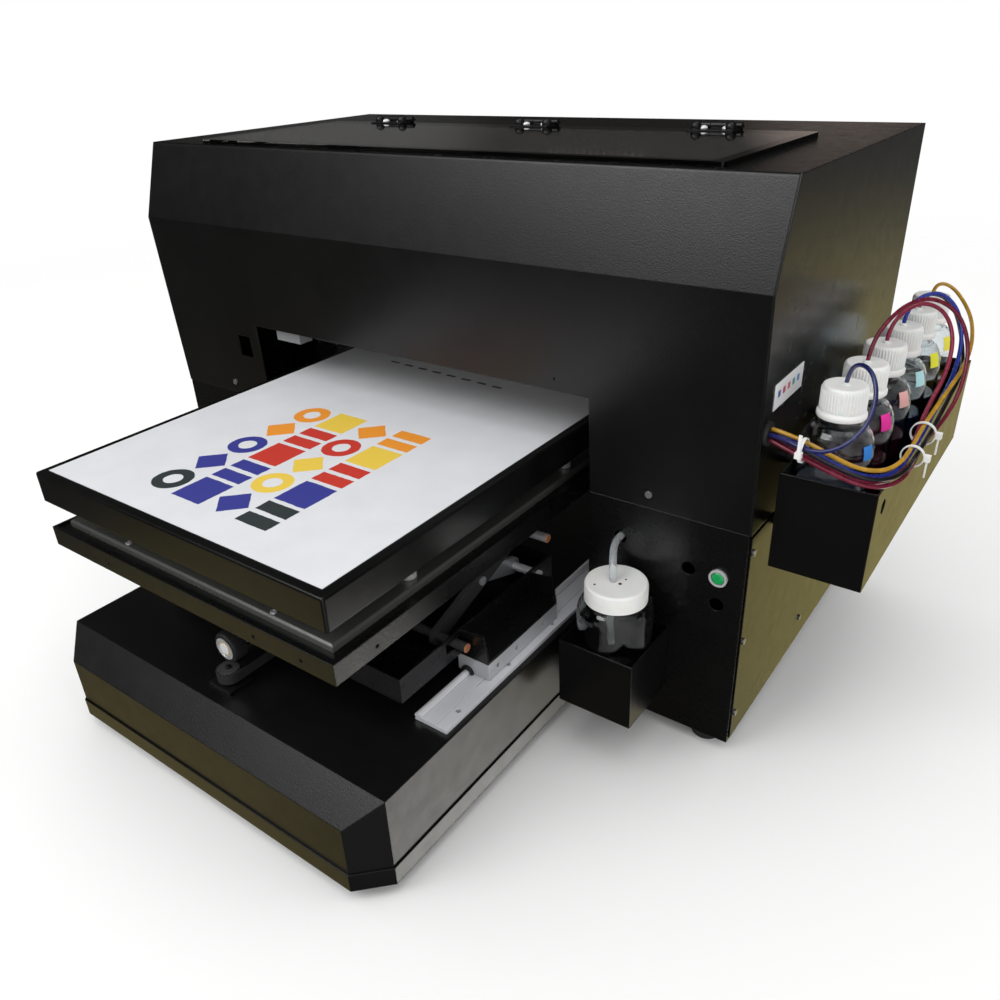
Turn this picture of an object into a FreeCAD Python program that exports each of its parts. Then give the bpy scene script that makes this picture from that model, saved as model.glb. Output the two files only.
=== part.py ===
"""Desktop flatbed UV printer: a hood on two towers, a long base box between them, and a printing
table that slides on the base and is raised by a scissor lift.

Everything is drawn in millimetres from the hood's left side (x = 0), the lower edge of the hood's
sloped front band (y = 0, +Y to the back) and the floor (z = 0).  save() then moves each solid so
that the origin is under the middle of the whole object.
"""
import FreeCAD, Part
import math
import os

V = FreeCAD.Vector
os.makedirs("parts", exist_ok=True)

# ---------------------------------------------------------------- body
HOOD_WIDTH = 760.0
BODY_DEPTH = 393.0
HOOD_TOP = 532.0
SEAM_Z = 246.0            # where the hood sits on the towers
SHEET = 1.5               # sheet metal thickness of every panel
FACE_Y = 9.0              # front face of the towers and foot of the hood's front panel
BAND_TOP_Y = 28.0         # the hood's top front edge
BAND_LOW_Z = 452.0        # lower edge of the sloped band
TOWER_WIDTH = 157.0
OPENING_TOP = 341.0       # top of the table's slot in the front and rear panels
FLANGE = 14.0             # return flange round a tower's open side
COVER_MARGIN = 4.0        # how far a side cover stays inside the tower's edge
FOOT_HEIGHT = 13.0
FOOT_RADIUS = 18.0
FIT = 0.3                 # clearance between pieces that move past each other
RUNNING = 0.05            # radial clearance of a shaft in its bore
MID_X = HOOD_WIDTH / 2

# ---------------------------------------------------------------- base box
BASE_WIDTH = 434.0
BASE_TOP = 106.0
BASE_FRONT = -315.0
BASE_CHAMFER = 26.0       # run of the sloped front band and of the cut corners
BASE_BAND_DROP = 24.0
PAN_TOP = 32.0            # upper edge of the bottom pan
BASE_LEFT = MID_X - BASE_WIDTH / 2
BASE_RIGHT = MID_X + BASE_WIDTH / 2

# ---------------------------------------------------------------- table rails and drive
RAIL_WIDTH = 28.0
RAIL_HEIGHT = 4.0
RAIL_INSET = 6.0          # rail's outer edge inside the base's side
RAIL_FRONT = -205.0
RAIL_BACK = 375.0
RAIL_LIP = 7.5            # narrow ledge beside the rail that carries the shaft
RAIL_LIP_HEIGHT = 1.0
SHAFT_RADIUS = 3.5
RAIL_HOLE_RADIUS = 2.6
RAIL_HOLE_PITCH = 75.0
TABLE_TRAVEL = 390.0
PULLEY_RADIUS = 10.0
PULLEY_HEIGHT = 12.0
BELT_WIDTH = 10.0
BELT_THICK = 1.5
BELT_FRONT = -262.0
BELT_BACK = 350.0
BELT_MID_Z = 117.0
MOTOR_SIDE = 42.0
MOTOR_LENGTH = 48.0
MOTOR_SHAFT_RADIUS = 2.5
CLAMP_BACK = -60.0
CLAMP_LENGTH = 25.0

# ---------------------------------------------------------------- table chassis
CHASSIS_WIDTH = 344.0
CHASSIS_FRONT = -215.0
CHASSIS_BACK = 20.0
CHASSIS_PLATE = 3.0
CHASSIS_WALL = 2.0
CHASSIS_Z = 128.0
CHASSIS_HEIGHT = 26.0
BLOCK_FRONT = -134.0
BLOCK_LENGTH = 114.0
BLOCK_WIDTH = 35.0

# ---------------------------------------------------------------- scissor lift
LIFT_PIN_Y = -6.0         # fixed pins at the back of the chassis and of the platform
LIFT_PIN_Z = 144.0        # lower pins and lead screw
LIFT_SPAN = 134.0         # distance from the fixed pins to the sliding pins at rest
LIFT_RISE = 46.0          # height of the upper pins over the lower pins at rest
LIFT_TURN_DEG = 12.0      # how far the arms fold down
ROD_RADIUS = 4.5
ROD_REACH = 185.0         # how far the visible rod ends stand out from the middle
ARM_THICK = 5.0
ARM_HALF = 9.0
ARM_INNER_X = 138.0       # inner arms, outwards from the middle
ARM_OUTER_X = 148.0
HANGER_X = 128.0
HANGER_THICK = 3.0
NUT_SIZE = (32.0, 26.0, 24.0)
NUT_BORE_DEPTH = 9.0
SCREW_RADIUS = 6.0
SCREW_FRONT = -262.0
SCREW_BACK = -72.0
KNOB_RADIUS = 15.5
KNOB_LENGTH = 16.0
BEARING_LENGTH = 10.0
BEARING_HALF = 13.0

# ---------------------------------------------------------------- table and platen
PLATEN_WIDTH = 377.0
PLATEN_FRONT = -294.0
PLATEN_LENGTH = 451.0
PLATEN_Z = 259.5
PLATEN_HEIGHT = 29.5
PLATEN_TOP_THICK = 4.0
PLATEN_WALL = 2.0
BOARD_MARGIN = 9.0
BOARD_SINK = 1.5
BOARD_THICK = 1.8
TRAY_Z = 211.5
TRAY_HEIGHT = 17.5
TRAY_PLATE = 2.0
TRAY_LIP = 2.0
LOCATOR_MARGIN = 12.0
LOCATOR_THICK = 7.0
POST_RADIUS = 4.0
POST_HEAD_RADIUS = 7.0
POST_HEAD_HEIGHT = 6.0
POST_EDGE = 26.0
POST_FRONT_Y = -181.0
POST_BACK_Y = 60.0

# ---------------------------------------------------------------- gantry and print carriage
BEAM_SIZE = 40.0
BEAM_FRONT = 205.0
BEAM_Z = 395.0
BEAM_END = 30.0           # beam's end inside the hood's side
GUIDE_RADIUS = 8.0
CARRIAGE_WIDTH = 100.0
CARRIAGE_FRONT = 95.0
CARRIAGE_BACK = 189.0
CARRIAGE_Z = 300.0
CARRIAGE_TOP = 430.0
CARRIAGE_PARK = 92.0      # parked carriage's middle, in from the hood's right side
CARRIAGE_TRAVEL = 575.0
CARRIAGE_WALL = 3.0
HEAD_GAP = 2.7            # head's face over the printing board
HEAD_WIDTH = 60.0
HEAD_DEPTH = 46.0
X_PULLEY_RADIUS = 8.0
X_BELT_Z = 455.0
X_BELT_Y = 180.0
LAMP_WIDTH = 26.0

# ---------------------------------------------------------------- lid
LID_LEFT = 79.0
LID_WIDTH = 620.0
LID_FRONT = 36.0
LID_DEPTH = 218.0
LID_THICK = 4.0
LID_OVERLAP = 12.0
HINGE_GAP = 2.5
HINGE_LIFT = 3.5
KNUCKLE_RADIUS = 3.0
HINGE_PIN_RADIUS = 1.5
HINGE_XS = (180.0, 390.0, 600.0)
HINGE_HALF = 24.0
LEAF_THICK = 1.2
LEAF_DEPTH = 20.0
NUT_RADIUS = 5.5

# ---------------------------------------------------------------- power button and front holes
BUTTON_X = 25.0           # in from the hood's right side
BUTTON_Z = 196.0
BUTTON_RADIUS = 6.0
BEZEL_RADIUS = 8.5
BEZEL_HOLE_RADIUS = 7.0
BEZEL_PROUD = 2.5
BLANK_HOLE_RADIUS = 6.5
TUBE_HOLE_X = 124.0
TUBE_HOLE_Z = 207.0

# ---------------------------------------------------------------- ink tray and bottles
TRAY_GAP = 13.0           # between the hood's side and the ink tray
INK_TRAY_WIDTH = 77.0
INK_TRAY_FRONT = 20.0
INK_TRAY_LENGTH = 356.0
INK_TRAY_Z = 216.0
INK_TRAY_TOP = 305.0
BOTTLE_COUNT = 6
BOTTLE_RADIUS = 29.0
BOTTLE_PITCH = 58.5
BOTTLE_FIRST_Y = 52.0
BOTTLE_WALL = 1.2
BOTTLE_BODY = 104.0       # straight side of a bottle
BOTTLE_SHOULDER = 24.0
NECK_RADIUS = 16.0
NECK_HEIGHT = 28.3
CAP_RADIUS = 17.9
CAP_HEIGHT = 26.0
CAP_SKIRT = 1.2
CAP_TOP = 3.0
CAP_FLARE = 1.3
CAP_FLARE_HEIGHT = 5.0
INK_TUBE_DIAMETER = 3.5

# ---------------------------------------------------------------- waste bottle
WASTE_X = 654.0 - 760.0   # bottle's axis, in from the hood's right side
WASTE_Y = -29.0
WASTE_Z = 56.0
WASTE_TOP = 127.0
WASTE_HALF = 38.0
WASTE_RADIUS = 36.0
WASTE_BODY = 95.2
WASTE_SHOULDER = 14.0
WASTE_NECK_RADIUS = 26.0
WASTE_NECK_HEIGHT = 15.3
WASTE_CAP_RADIUS = 29.5
WASTE_CAP_HEIGHT = 18.0
WASTE_TUBE_DIAMETER = 7.0


# ================================================================ shape helpers
def box(x0, x1, y0, y1, z0, z1):
    return Part.makeBox(x1 - x0, y1 - y0, z1 - z0, V(x0, y0, z0))


def rod(axis, x, y, z, radius, length):
    """A cylinder that starts at (x, y, z) and runs along +axis."""
    direction = {"x": V(1, 0, 0), "y": V(0, 1, 0), "z": V(0, 0, 1)}[axis]
    return Part.makeCylinder(radius, length, V(x, y, z), direction)


def cut(solid, *tools):
    for tool in tools:
        solid = solid.cut(tool)
    return solid


def fuse(first, *others):
    for other in others:
        first = first.fuse(other)
    return first.removeSplitter()


def prism_x(points, x0, x1):
    """A closed outline of (y, z) points, pushed from x0 to x1."""
    wire = Part.makePolygon([V(x0, y, z) for y, z in points + points[:1]])
    return Part.Face(wire).extrude(V(x1 - x0, 0, 0))


def prism_z(points, z0, z1):
    wire = Part.makePolygon([V(x, y, z0) for x, y in points + points[:1]])
    return Part.Face(wire).extrude(V(0, 0, z1 - z0))


def prism_y(points, y0, y1):
    wire = Part.makePolygon([V(x, y0, z) for x, z in points + points[:1]])
    return Part.Face(wire).extrude(V(0, y1 - y0, 0))


def turned(points, x, y, z):
    """A solid of revolution about a vertical axis, from (radius, height) points."""
    wire = Part.makePolygon([V(x + r, y, z + h) for r, h in points + points[:1]])
    return Part.Face(wire).revolve(V(x, y, z), V(0, 0, 1), 360)


def inset(points, distance):
    """The outline of a convex counter-clockwise polygon moved inwards by distance."""
    count = len(points)
    moved = []
    for i in range(count):
        before, here, after = points[i - 1], points[i], points[(i + 1) % count]
        e1 = (here[0] - before[0], here[1] - before[1])
        e2 = (after[0] - here[0], after[1] - here[1])
        l1, l2 = math.hypot(*e1), math.hypot(*e2)
        n1 = (-e1[1] / l1, e1[0] / l1)
        n2 = (-e2[1] / l2, e2[0] / l2)
        scale = distance / (1 + n1[0] * n2[0] + n1[1] * n2[1])
        moved.append((here[0] + scale * (n1[0] + n2[0]), here[1] + scale * (n1[1] + n2[1])))
    return moved


def mirrored(shape):
    """The same piece on the other side of the printer's middle plane."""
    return shape.mirror(V(MID_X, 0, 0), V(1, 0, 0))


def bar(y0, z0, y1, z1, half, x0, x1):
    """A flat link with round ends between two pivots, pushed from x0 to x1."""
    length = math.hypot(y1 - y0, z1 - z0)
    ux, uz = (y1 - y0) / length, (z1 - z0) / length
    corners = [(y0 - uz * half, z0 + ux * half), (y0 + uz * half, z0 - ux * half),
               (y1 + uz * half, z1 - ux * half), (y1 - uz * half, z1 + ux * half)]
    ends = [rod("x", x0, y, z, half, x1 - x0) for y, z in ((y0, z0), (y1, z1))]
    return fuse(prism_x(corners, x0, x1), *ends)


def screw_head(axis, x, y, z, radius=3.2, height=1.6):
    """A low round head that stands off a panel; a negative height points the other way."""
    if height > 0:
        return rod(axis, x, y, z, radius, height)
    start = {"x": (x + height, y, z), "y": (x, y + height, z), "z": (x, y, z + height)}[axis]
    return rod(axis, *start, radius, -height)


def cord(name, points, diameter):
    """A plain tube along straight runs joined by arcs that are tangent to them."""
    knots = [V(*p) for p in points]
    runs = [(b - a).Length for a, b in zip(knots, knots[1:])]
    edges = []
    radii = []
    start = knots[0]
    for i in range(1, len(knots) - 1):
        back = (knots[i - 1] - knots[i]).normalize()
        ahead = (knots[i + 1] - knots[i]).normalize()
        turn = math.pi - back.getAngle(ahead)
        trim = 0.45 * min(runs[i - 1], runs[i])
        radius = trim / math.tan(turn / 2)
        enter = knots[i] + back * trim
        leave = knots[i] + ahead * trim
        inward = (back + ahead).normalize()
        middle = knots[i] + inward * (radius / math.cos(turn / 2) - radius)
        edges.append(Part.LineSegment(start, enter).toShape())
        edges.append(Part.Arc(enter, middle, leave).toShape())
        radii.append(radius)
        start = leave
    edges.append(Part.LineSegment(start, knots[-1]).toShape())
    path = Part.Wire(edges)
    section = Part.makeCircle(diameter / 2, knots[0], knots[1] - knots[0])
    tube = path.makePipeShell([Part.Wire(section)], True, False)
    length = sum(edge.Length for edge in edges)
    expected = length * math.pi * diameter ** 2 / 4
    print(name, "length %.0f" % length, "radii", [round(r) for r in radii],
          "runs", [round(r) for r in runs], "volume ratio %.4f" % (tube.Volume / expected))
    return tube


# ================================================================ base box
def base_outline():
    """The base box seen from above, counter-clockwise."""
    back = BODY_DEPTH
    shoulder = BASE_FRONT + BASE_CHAMFER
    return [(BASE_LEFT, back), (BASE_LEFT, shoulder), (BASE_LEFT + BASE_CHAMFER, BASE_FRONT),
            (BASE_RIGHT - BASE_CHAMFER, BASE_FRONT), (BASE_RIGHT, shoulder), (BASE_RIGHT, back)]


def base_side():
    """The base box seen from its side, counter-clockwise in (y, z)."""
    foot = FOOT_HEIGHT + SHEET
    return [(BASE_FRONT, foot), (BODY_DEPTH, foot), (BODY_DEPTH, BASE_TOP),
            (BASE_FRONT + BASE_CHAMFER, BASE_TOP), (BASE_FRONT, BASE_TOP - BASE_BAND_DROP)]


def base_pan():
    outline = base_outline()
    outer = prism_z(inset(outline, -SHEET), FOOT_HEIGHT, PAN_TOP)
    return [cut(outer, prism_z(outline, FOOT_HEIGHT + SHEET, PAN_TOP + 1))]


def base_cover():
    outline, side = base_outline(), base_side()
    outer = prism_x(side, BASE_LEFT, BASE_RIGHT).common(prism_z(outline, 0, BASE_TOP + 1))
    hollow_side = inset(side, SHEET)
    hollow_side[0] = (hollow_side[0][0], 0)
    hollow_side[1] = (hollow_side[1][0], 0)
    hollow = prism_x(hollow_side, BASE_LEFT, BASE_RIGHT)
    hollow = hollow.common(prism_z(inset(outline, SHEET), -1, BASE_TOP + 1))
    shaft_hole = rod("z", MID_X, BELT_BACK, BASE_TOP - 5, MOTOR_SHAFT_RADIUS + 2, 10)
    return [cut(outer, hollow, shaft_hole)]


def feet_and_gland():
    """Round rubber feet under the towers and the base, and the tube gland in the hood's side."""
    inner = FOOT_RADIUS + 12
    spots = []
    for x in (inner, TOWER_WIDTH - inner, HOOD_WIDTH - TOWER_WIDTH + inner, HOOD_WIDTH - inner):
        spots += [(x, FACE_Y + inner - 9), (x, BODY_DEPTH - inner)]
    for x in (BASE_LEFT + 40, BASE_RIGHT - 40):
        spots.append((x, BASE_FRONT + 50))
    feet = []
    for x, y in spots:
        foot = turned([(0, 0), (FOOT_RADIUS - 3, 0), (FOOT_RADIUS, FOOT_HEIGHT), (0, FOOT_HEIGHT)],
                      x, y, 0)
        feet.append(foot)
    gland = rod("x", HOOD_WIDTH - 2 * SHEET, GLAND_Y, GLAND_Z, GLAND_RADIUS, 2 * SHEET)
    collar = rod("x", HOOD_WIDTH, GLAND_Y, GLAND_Z, GLAND_RADIUS + 2, GLAND_PROUD)
    return feet + [fuse(gland, collar)]


# ================================================================ towers
GLAND_Y = 17.0
GLAND_Z = 338.0
GLAND_RADIUS = 8.0
GLAND_PROUD = 3.0


def tower_shell():
    """The left tower without its front holes: a box that is open on its outer side."""
    outer = box(SHEET, TOWER_WIDTH, FACE_Y, BODY_DEPTH, FOOT_HEIGHT, SEAM_Z)
    hollow = box(2 * SHEET, TOWER_WIDTH - SHEET, FACE_Y + SHEET, BODY_DEPTH - SHEET,
                 FOOT_HEIGHT + SHEET, SEAM_Z - SHEET)
    window = box(0, 3 * SHEET, FACE_Y + FLANGE, BODY_DEPTH - FLANGE,
                 FOOT_HEIGHT + FLANGE, SEAM_Z - FLANGE)
    cable_hole = rod("z", TOWER_WIDTH / 2, BODY_DEPTH - 60, SEAM_Z - 5, 22, 10)
    return cut(outer, hollow, window, cable_hole)


def tower_left_shell():
    inlet_hole = box(60, 60 + INLET_SIZE[0], BODY_DEPTH - 5, BODY_DEPTH + 5, 70, 70 + INLET_SIZE[1])
    usb_hole = box(60, 60 + USB_SIZE[0], BODY_DEPTH - 5, BODY_DEPTH + 5, 125, 125 + USB_SIZE[1])
    return [cut(tower_shell(), inlet_hole, usb_hole)]


def front_hole(x, z, radius):
    return rod("y", x, FACE_Y - 5, z, radius, 10)


def tower_right_shell():
    shell = mirrored(tower_shell())
    button = HOOD_WIDTH - BUTTON_X
    holes = [front_hole(button, BUTTON_Z, BEZEL_HOLE_RADIUS),
             front_hole(button - 29, BUTTON_Z, BLANK_HOLE_RADIUS),
             front_hole(button, BUTTON_Z - 29, BLANK_HOLE_RADIUS),
             front_hole(HOOD_WIDTH - TUBE_HOLE_X, TUBE_HOLE_Z, BLANK_HOLE_RADIUS)]
    return [cut(shell, *holes)]


# ================================================================ hood
def hood_side():
    """The hood seen from its side, counter-clockwise in (y, z)."""
    return [(FACE_Y, SEAM_Z), (BODY_DEPTH, SEAM_Z), (BODY_DEPTH, HOOD_TOP),
            (BAND_TOP_Y, HOOD_TOP), (0, BAND_LOW_Z)]


def hood_skin():
    """Front, top and rear panels in one bent skin between the two side panels."""
    side = hood_side()
    hollow = inset(side, SHEET)
    hollow[0] = (FACE_Y + SHEET, SEAM_Z - 1)
    hollow[1] = (hollow[1][0], SEAM_Z - 1)
    skin = prism_x(side, SHEET, HOOD_WIDTH - SHEET)
    return cut(skin, prism_x(hollow, SHEET, HOOD_WIDTH - SHEET))


def table_slot(y0, y1):
    return box(TOWER_WIDTH, HOOD_WIDTH - TOWER_WIDTH, y0, y1, SEAM_Z - 1, OPENING_TOP)


def hood_front():
    front = hood_skin().common(box(0, HOOD_WIDTH, -5, BAND_TOP_Y, SEAM_Z, HOOD_TOP))
    square_hole = box(TOWER_WIDTH - 37, TOWER_WIDTH - 15, -5, 20, SEAM_Z + 53, SEAM_Z + 79)
    dots = [front_hole(x, z, 1.6) for x, z in ((364, 434), (537, 435), (536, 404), (568, 352))]
    return [cut(front, table_slot(-5, 20), square_hole, *dots)]


def window_edges():
    """Left, right, front and back edge of the opening under the lid."""
    return (LID_LEFT + LID_OVERLAP, LID_LEFT + LID_WIDTH - LID_OVERLAP,
            LID_FRONT + LID_OVERLAP, LID_FRONT + LID_DEPTH - LID_OVERLAP - 12)


def hood_top():
    top = hood_skin().common(box(0, HOOD_WIDTH, BAND_TOP_Y, BODY_DEPTH - SHEET,
                                 HOOD_TOP - SHEET, HOOD_TOP))
    left, right, front, back = window_edges()
    return [cut(top, box(left, right, front, back, HOOD_TOP - 5, HOOD_TOP + 5))]


def hood_rear():
    rear = hood_skin().common(box(0, HOOD_WIDTH, BODY_DEPTH - SHEET, BODY_DEPTH,
                                  SEAM_Z, HOOD_TOP))
    slots = []
    for column in range(14):
        x = MID_X - 65 + 10 * column
        slots.append(box(x - 2, x + 2, BODY_DEPTH - 5, BODY_DEPTH + 5, 440, 490))
    return [cut(rear, table_slot(BODY_DEPTH - 5, BODY_DEPTH + 5), *slots)]


def side_panels():
    """The hood's two side panels and the covers of the towers' open sides."""
    hood = prism_x(hood_side(), 0, SHEET)
    gland_hole = rod("x", HOOD_WIDTH - 5, GLAND_Y, GLAND_Z, GLAND_RADIUS, 10)
    cover = box(0, SHEET, FACE_Y + COVER_MARGIN, BODY_DEPTH - COVER_MARGIN,
                FOOT_HEIGHT + COVER_MARGIN, SEAM_Z - COVER_MARGIN)
    return [hood, cut(mirrored(hood), gland_hole), cover, mirrored(cover)]


# ================================================================ gantry
def gantry_frame():
    """Beam on two uprights, with a fixed end plate for each belt pulley of the carriage drive."""
    beam = box(BEAM_END, HOOD_WIDTH - BEAM_END, BEAM_FRONT, BEAM_FRONT + BEAM_SIZE,
               BEAM_Z, BEAM_Z + BEAM_SIZE)
    for z in (BEAM_Z, BEAM_Z + BEAM_SIZE - 6):
        beam = beam.cut(box(0, HOOD_WIDTH, BEAM_FRONT + 16, BEAM_FRONT + 24, z, z + 6))
    upright = box(BEAM_END, BEAM_END + BEAM_SIZE, BEAM_FRONT, BEAM_FRONT + BEAM_SIZE,
                  SEAM_Z, BEAM_Z)
    plates = []
    for x in x_pulley_places():
        plate = box(x - 18, x + 18, BEAM_FRONT, BEAM_FRONT + 4, BEAM_Z + BEAM_SIZE, X_BELT_Z + 18)
        plates.append(cut(plate, rod("y", x, BEAM_FRONT - 5, X_BELT_Z, 5.2, 15)))
    return [beam, upright, mirrored(upright)] + plates


def x_pulley_places():
    return (BEAM_END + 24, HOOD_WIDTH - BEAM_END - 24)


def rail_side(x):
    """x measured outwards from the middle for the right-hand rail."""
    return MID_X + x


RAIL_OUT = BASE_WIDTH / 2 - RAIL_INSET
SHAFT_OUT = RAIL_OUT - RAIL_WIDTH - RAIL_LIP / 2
SHAFT_Z = BASE_TOP + RAIL_LIP_HEIGHT + SHAFT_RADIUS


def table_rails():
    outer, inner = rail_side(RAIL_OUT), rail_side(RAIL_OUT - RAIL_WIDTH)
    rail = fuse(box(inner, outer, RAIL_FRONT, RAIL_BACK, BASE_TOP, BASE_TOP + RAIL_HEIGHT),
                box(inner - RAIL_LIP, inner, RAIL_FRONT, RAIL_BACK,
                    BASE_TOP, BASE_TOP + RAIL_LIP_HEIGHT))
    step = rail_side(RAIL_OUT - 12)
    rail = rail.cut(box(step - 1, step, RAIL_FRONT - 1, RAIL_BACK + 1,
                        BASE_TOP + RAIL_HEIGHT - 0.8, BASE_TOP + RAIL_HEIGHT + 1))
    y = RAIL_FRONT + 25
    while y < RAIL_BACK - 10:
        rail = rail.cut(rod("z", rail_side(RAIL_OUT - 7), y, BASE_TOP - 1, RAIL_HOLE_RADIUS, 10))
        y += RAIL_HOLE_PITCH
    return [rail, mirrored(rail)]


def guide_shafts():
    """Two table shafts on the rails, and the print carriage's shaft along the beam."""
    shaft = rod("y", rail_side(SHAFT_OUT), RAIL_FRONT, SHAFT_Z, SHAFT_RADIUS,
                RAIL_BACK - RAIL_FRONT)
    carriage_shaft = rod("x", BEAM_END, BEAM_FRONT - GUIDE_RADIUS, BEAM_Z + BEAM_SIZE / 2,
                         GUIDE_RADIUS, HOOD_WIDTH - 2 * BEAM_END)
    return [shaft, mirrored(shaft), carriage_shaft]


# ================================================================ drives
def drive_motors():
    """Square stepping motors: one under the base's top plate, one behind the gantry plate."""
    half = MOTOR_SIDE / 2
    top = BASE_TOP - SHEET
    table_motor = fuse(box(MID_X - half, MID_X + half, BELT_BACK - half, BELT_BACK + half,
                           top - MOTOR_LENGTH, top),
                       rod("z", MID_X, BELT_BACK, top, MOTOR_SHAFT_RADIUS,
                           BELT_MID_Z + PULLEY_HEIGHT / 2 - top))
    x = x_pulley_places()[0]
    back = BEAM_FRONT + 4
    body_z = X_BELT_Z - half
    carriage_motor = fuse(box(x - half, x + half, back, back + MOTOR_LENGTH,
                              body_z, body_z + MOTOR_SIDE),
                          rod("y", x, X_BELT_Y - PULLEY_HEIGHT / 2, X_BELT_Z, MOTOR_SHAFT_RADIUS,
                              back - X_BELT_Y + PULLEY_HEIGHT / 2))
    carriage_motor = carriage_motor.cut(box(x - half - 1, x + half + 1, BEAM_FRONT,
                                            BEAM_FRONT + BEAM_SIZE + 0.2,
                                            body_z - 1, BEAM_Z + BEAM_SIZE))
    return [table_motor, carriage_motor]


def idler_brackets():
    """Carriers of the two free pulleys: a foot with a pin for the table, a pin for the carriage."""
    plate = box(MID_X - 15, MID_X + 15, BELT_FRONT - 14, BELT_FRONT + 14, BASE_TOP, BASE_TOP + 3)
    pin = rod("z", MID_X, BELT_FRONT, BASE_TOP, MOTOR_SHAFT_RADIUS,
              BELT_MID_Z + PULLEY_HEIGHT / 2 + 2 - BASE_TOP)
    x = x_pulley_places()[1]
    start = X_BELT_Y - PULLEY_HEIGHT / 2
    carriage_pin = fuse(rod("y", x, start, X_BELT_Z, MOTOR_SHAFT_RADIUS, BEAM_FRONT + 6 - start),
                        rod("y", x, BEAM_FRONT - 6, X_BELT_Z, 5.2, 10))
    return [fuse(plate, pin), carriage_pin]


def belt_loop_points(radius):
    return radius + FIT, radius + FIT + BELT_THICK


def timing_belts():
    """Closed belts; each keeps the moving clearance from its pulleys."""
    inner, outer = belt_loop_points(PULLEY_RADIUS)
    z0 = BELT_MID_Z - BELT_WIDTH / 2

    def slab(r):
        body = box(MID_X - r, MID_X + r, BELT_FRONT, BELT_BACK, z0, z0 + BELT_WIDTH)
        ends = [rod("z", MID_X, y, z0, r, BELT_WIDTH) for y in (BELT_FRONT, BELT_BACK)]
        return fuse(body, *ends)

    table_belt = cut(slab(outer), slab(inner))
    inner, outer = belt_loop_points(X_PULLEY_RADIUS)
    left, right = x_pulley_places()
    y0 = X_BELT_Y - BELT_WIDTH / 2

    def loop(r):
        body = box(left, right, y0, y0 + BELT_WIDTH, X_BELT_Z - r, X_BELT_Z + r)
        ends = [rod("y", x, y0, X_BELT_Z, r, BELT_WIDTH) for x in (left, right)]
        return fuse(body, *ends)

    return [table_belt, cut(loop(outer), loop(inner))]


def toothed(axis, x, y, z, radius, height):
    """A small belt pulley with teeth, bored to run on its pin or shaft."""
    wheel = rod(axis, x, y, z, radius, height)
    teeth = 16
    for i in range(teeth):
        angle = 2 * math.pi * i / teeth
        c, s = radius * math.cos(angle), radius * math.sin(angle)
        if axis == "z":
            wheel = wheel.cut(rod(axis, x + c, y + s, z - 1, 0.9, height + 2))
        else:
            wheel = wheel.cut(rod(axis, x + c, y - 1, z + s, 0.9, height + 2))
    bore = MOTOR_SHAFT_RADIUS + RUNNING
    start = (x, y, z - 1) if axis == "z" else (x, y - 1, z)
    return wheel.cut(rod(axis, *start, bore, height + 2))


def table_pulley(y):
    return [toothed("z", MID_X, y, BELT_MID_Z - PULLEY_HEIGHT / 2, PULLEY_RADIUS, PULLEY_HEIGHT)]


def carriage_pulley(x):
    return [toothed("y", x, X_BELT_Y - PULLEY_HEIGHT / 2, X_BELT_Z, X_PULLEY_RADIUS,
                    PULLEY_HEIGHT)]


# ================================================================ electrics
INLET_SIZE = (27.0, 20.0)
USB_SIZE = (14.0, 12.0)


def control_board():
    """Board on four posts on the right tower's inner wall, with a few components."""
    wall = HOOD_WIDTH - TOWER_WIDTH + SHEET
    post, thick = 8.0, 1.6
    y0, y1, z0, z1 = 130.0, 300.0, 60.0, 180.0
    board = box(wall + post, wall + post + thick, y0, y1, z0, z1)
    face = wall + post + thick
    for y in (y0 + 6, y1 - 6):
        for z in (z0 + 6, z1 - 6):
            board = board.fuse(rod("x", wall, y, z, 3, post))
    for y, z, wide, high, proud in ((150, 80, 30, 30, 3), (200, 80, 24, 40, 12), (250, 75, 16, 60, 9),
                                    (160, 140, 40, 14, 10), (225, 150, 50, 12, 11)):
        board = board.fuse(box(face, face + proud, y, y + wide, z, z + high))
    return [board.removeSplitter()]


def power_supply():
    floor = FOOT_HEIGHT + SHEET
    case = box(30, 130, 90, 290, floor, floor + 45)
    for i in range(9):
        case = case.cut(box(45, 115, 110 + 18 * i, 118 + 18 * i, floor + 43, floor + 46))
    return [case]


def rear_sockets():
    """Mains inlet and data socket, seated in the left tower's rear wall."""
    wide, high = INLET_SIZE
    inlet = fuse(box(60, 60 + wide, BODY_DEPTH - 24, BODY_DEPTH, 70, 70 + high),
                 box(57, 63 + wide, BODY_DEPTH, BODY_DEPTH + 2.5, 67, 73 + high))
    inlet = inlet.cut(box(63, 57 + wide, BODY_DEPTH - 18, BODY_DEPTH + 3, 73, 67 + high))
    for x in (66, 73.5, 81):
        inlet = inlet.fuse(box(x - 1, x + 1, BODY_DEPTH - 19, BODY_DEPTH - 4, 77, 83))
    wide, high = USB_SIZE
    usb = fuse(box(60, 60 + wide, BODY_DEPTH - 16, BODY_DEPTH, 125, 125 + high),
               box(58.5, 61.5 + wide, BODY_DEPTH, BODY_DEPTH + 1.5, 123.5, 126.5 + high))
    usb = usb.cut(box(62, 58 + wide, BODY_DEPTH - 12, BODY_DEPTH + 3, 127, 123 + high))
    return [inlet.removeSplitter(), usb]


def button_bezel():
    """Ring of the push button with the switch body behind the panel."""
    x = HOOD_WIDTH - BUTTON_X
    ring = fuse(rod("y", x, FACE_Y - BEZEL_PROUD, BUTTON_Z, BEZEL_RADIUS, BEZEL_PROUD),
                rod("y", x, FACE_Y, BUTTON_Z, BEZEL_HOLE_RADIUS, 22))
    return [cut(ring, rod("y", x, FACE_Y - BEZEL_PROUD - 1, BUTTON_Z, BUTTON_RADIUS + FIT, 13))]


def power_button():
    x = HOOD_WIDTH - BUTTON_X
    return [rod("y", x, FACE_Y - BEZEL_PROUD - 0.7, BUTTON_Z, BUTTON_RADIUS, 9)]


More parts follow.
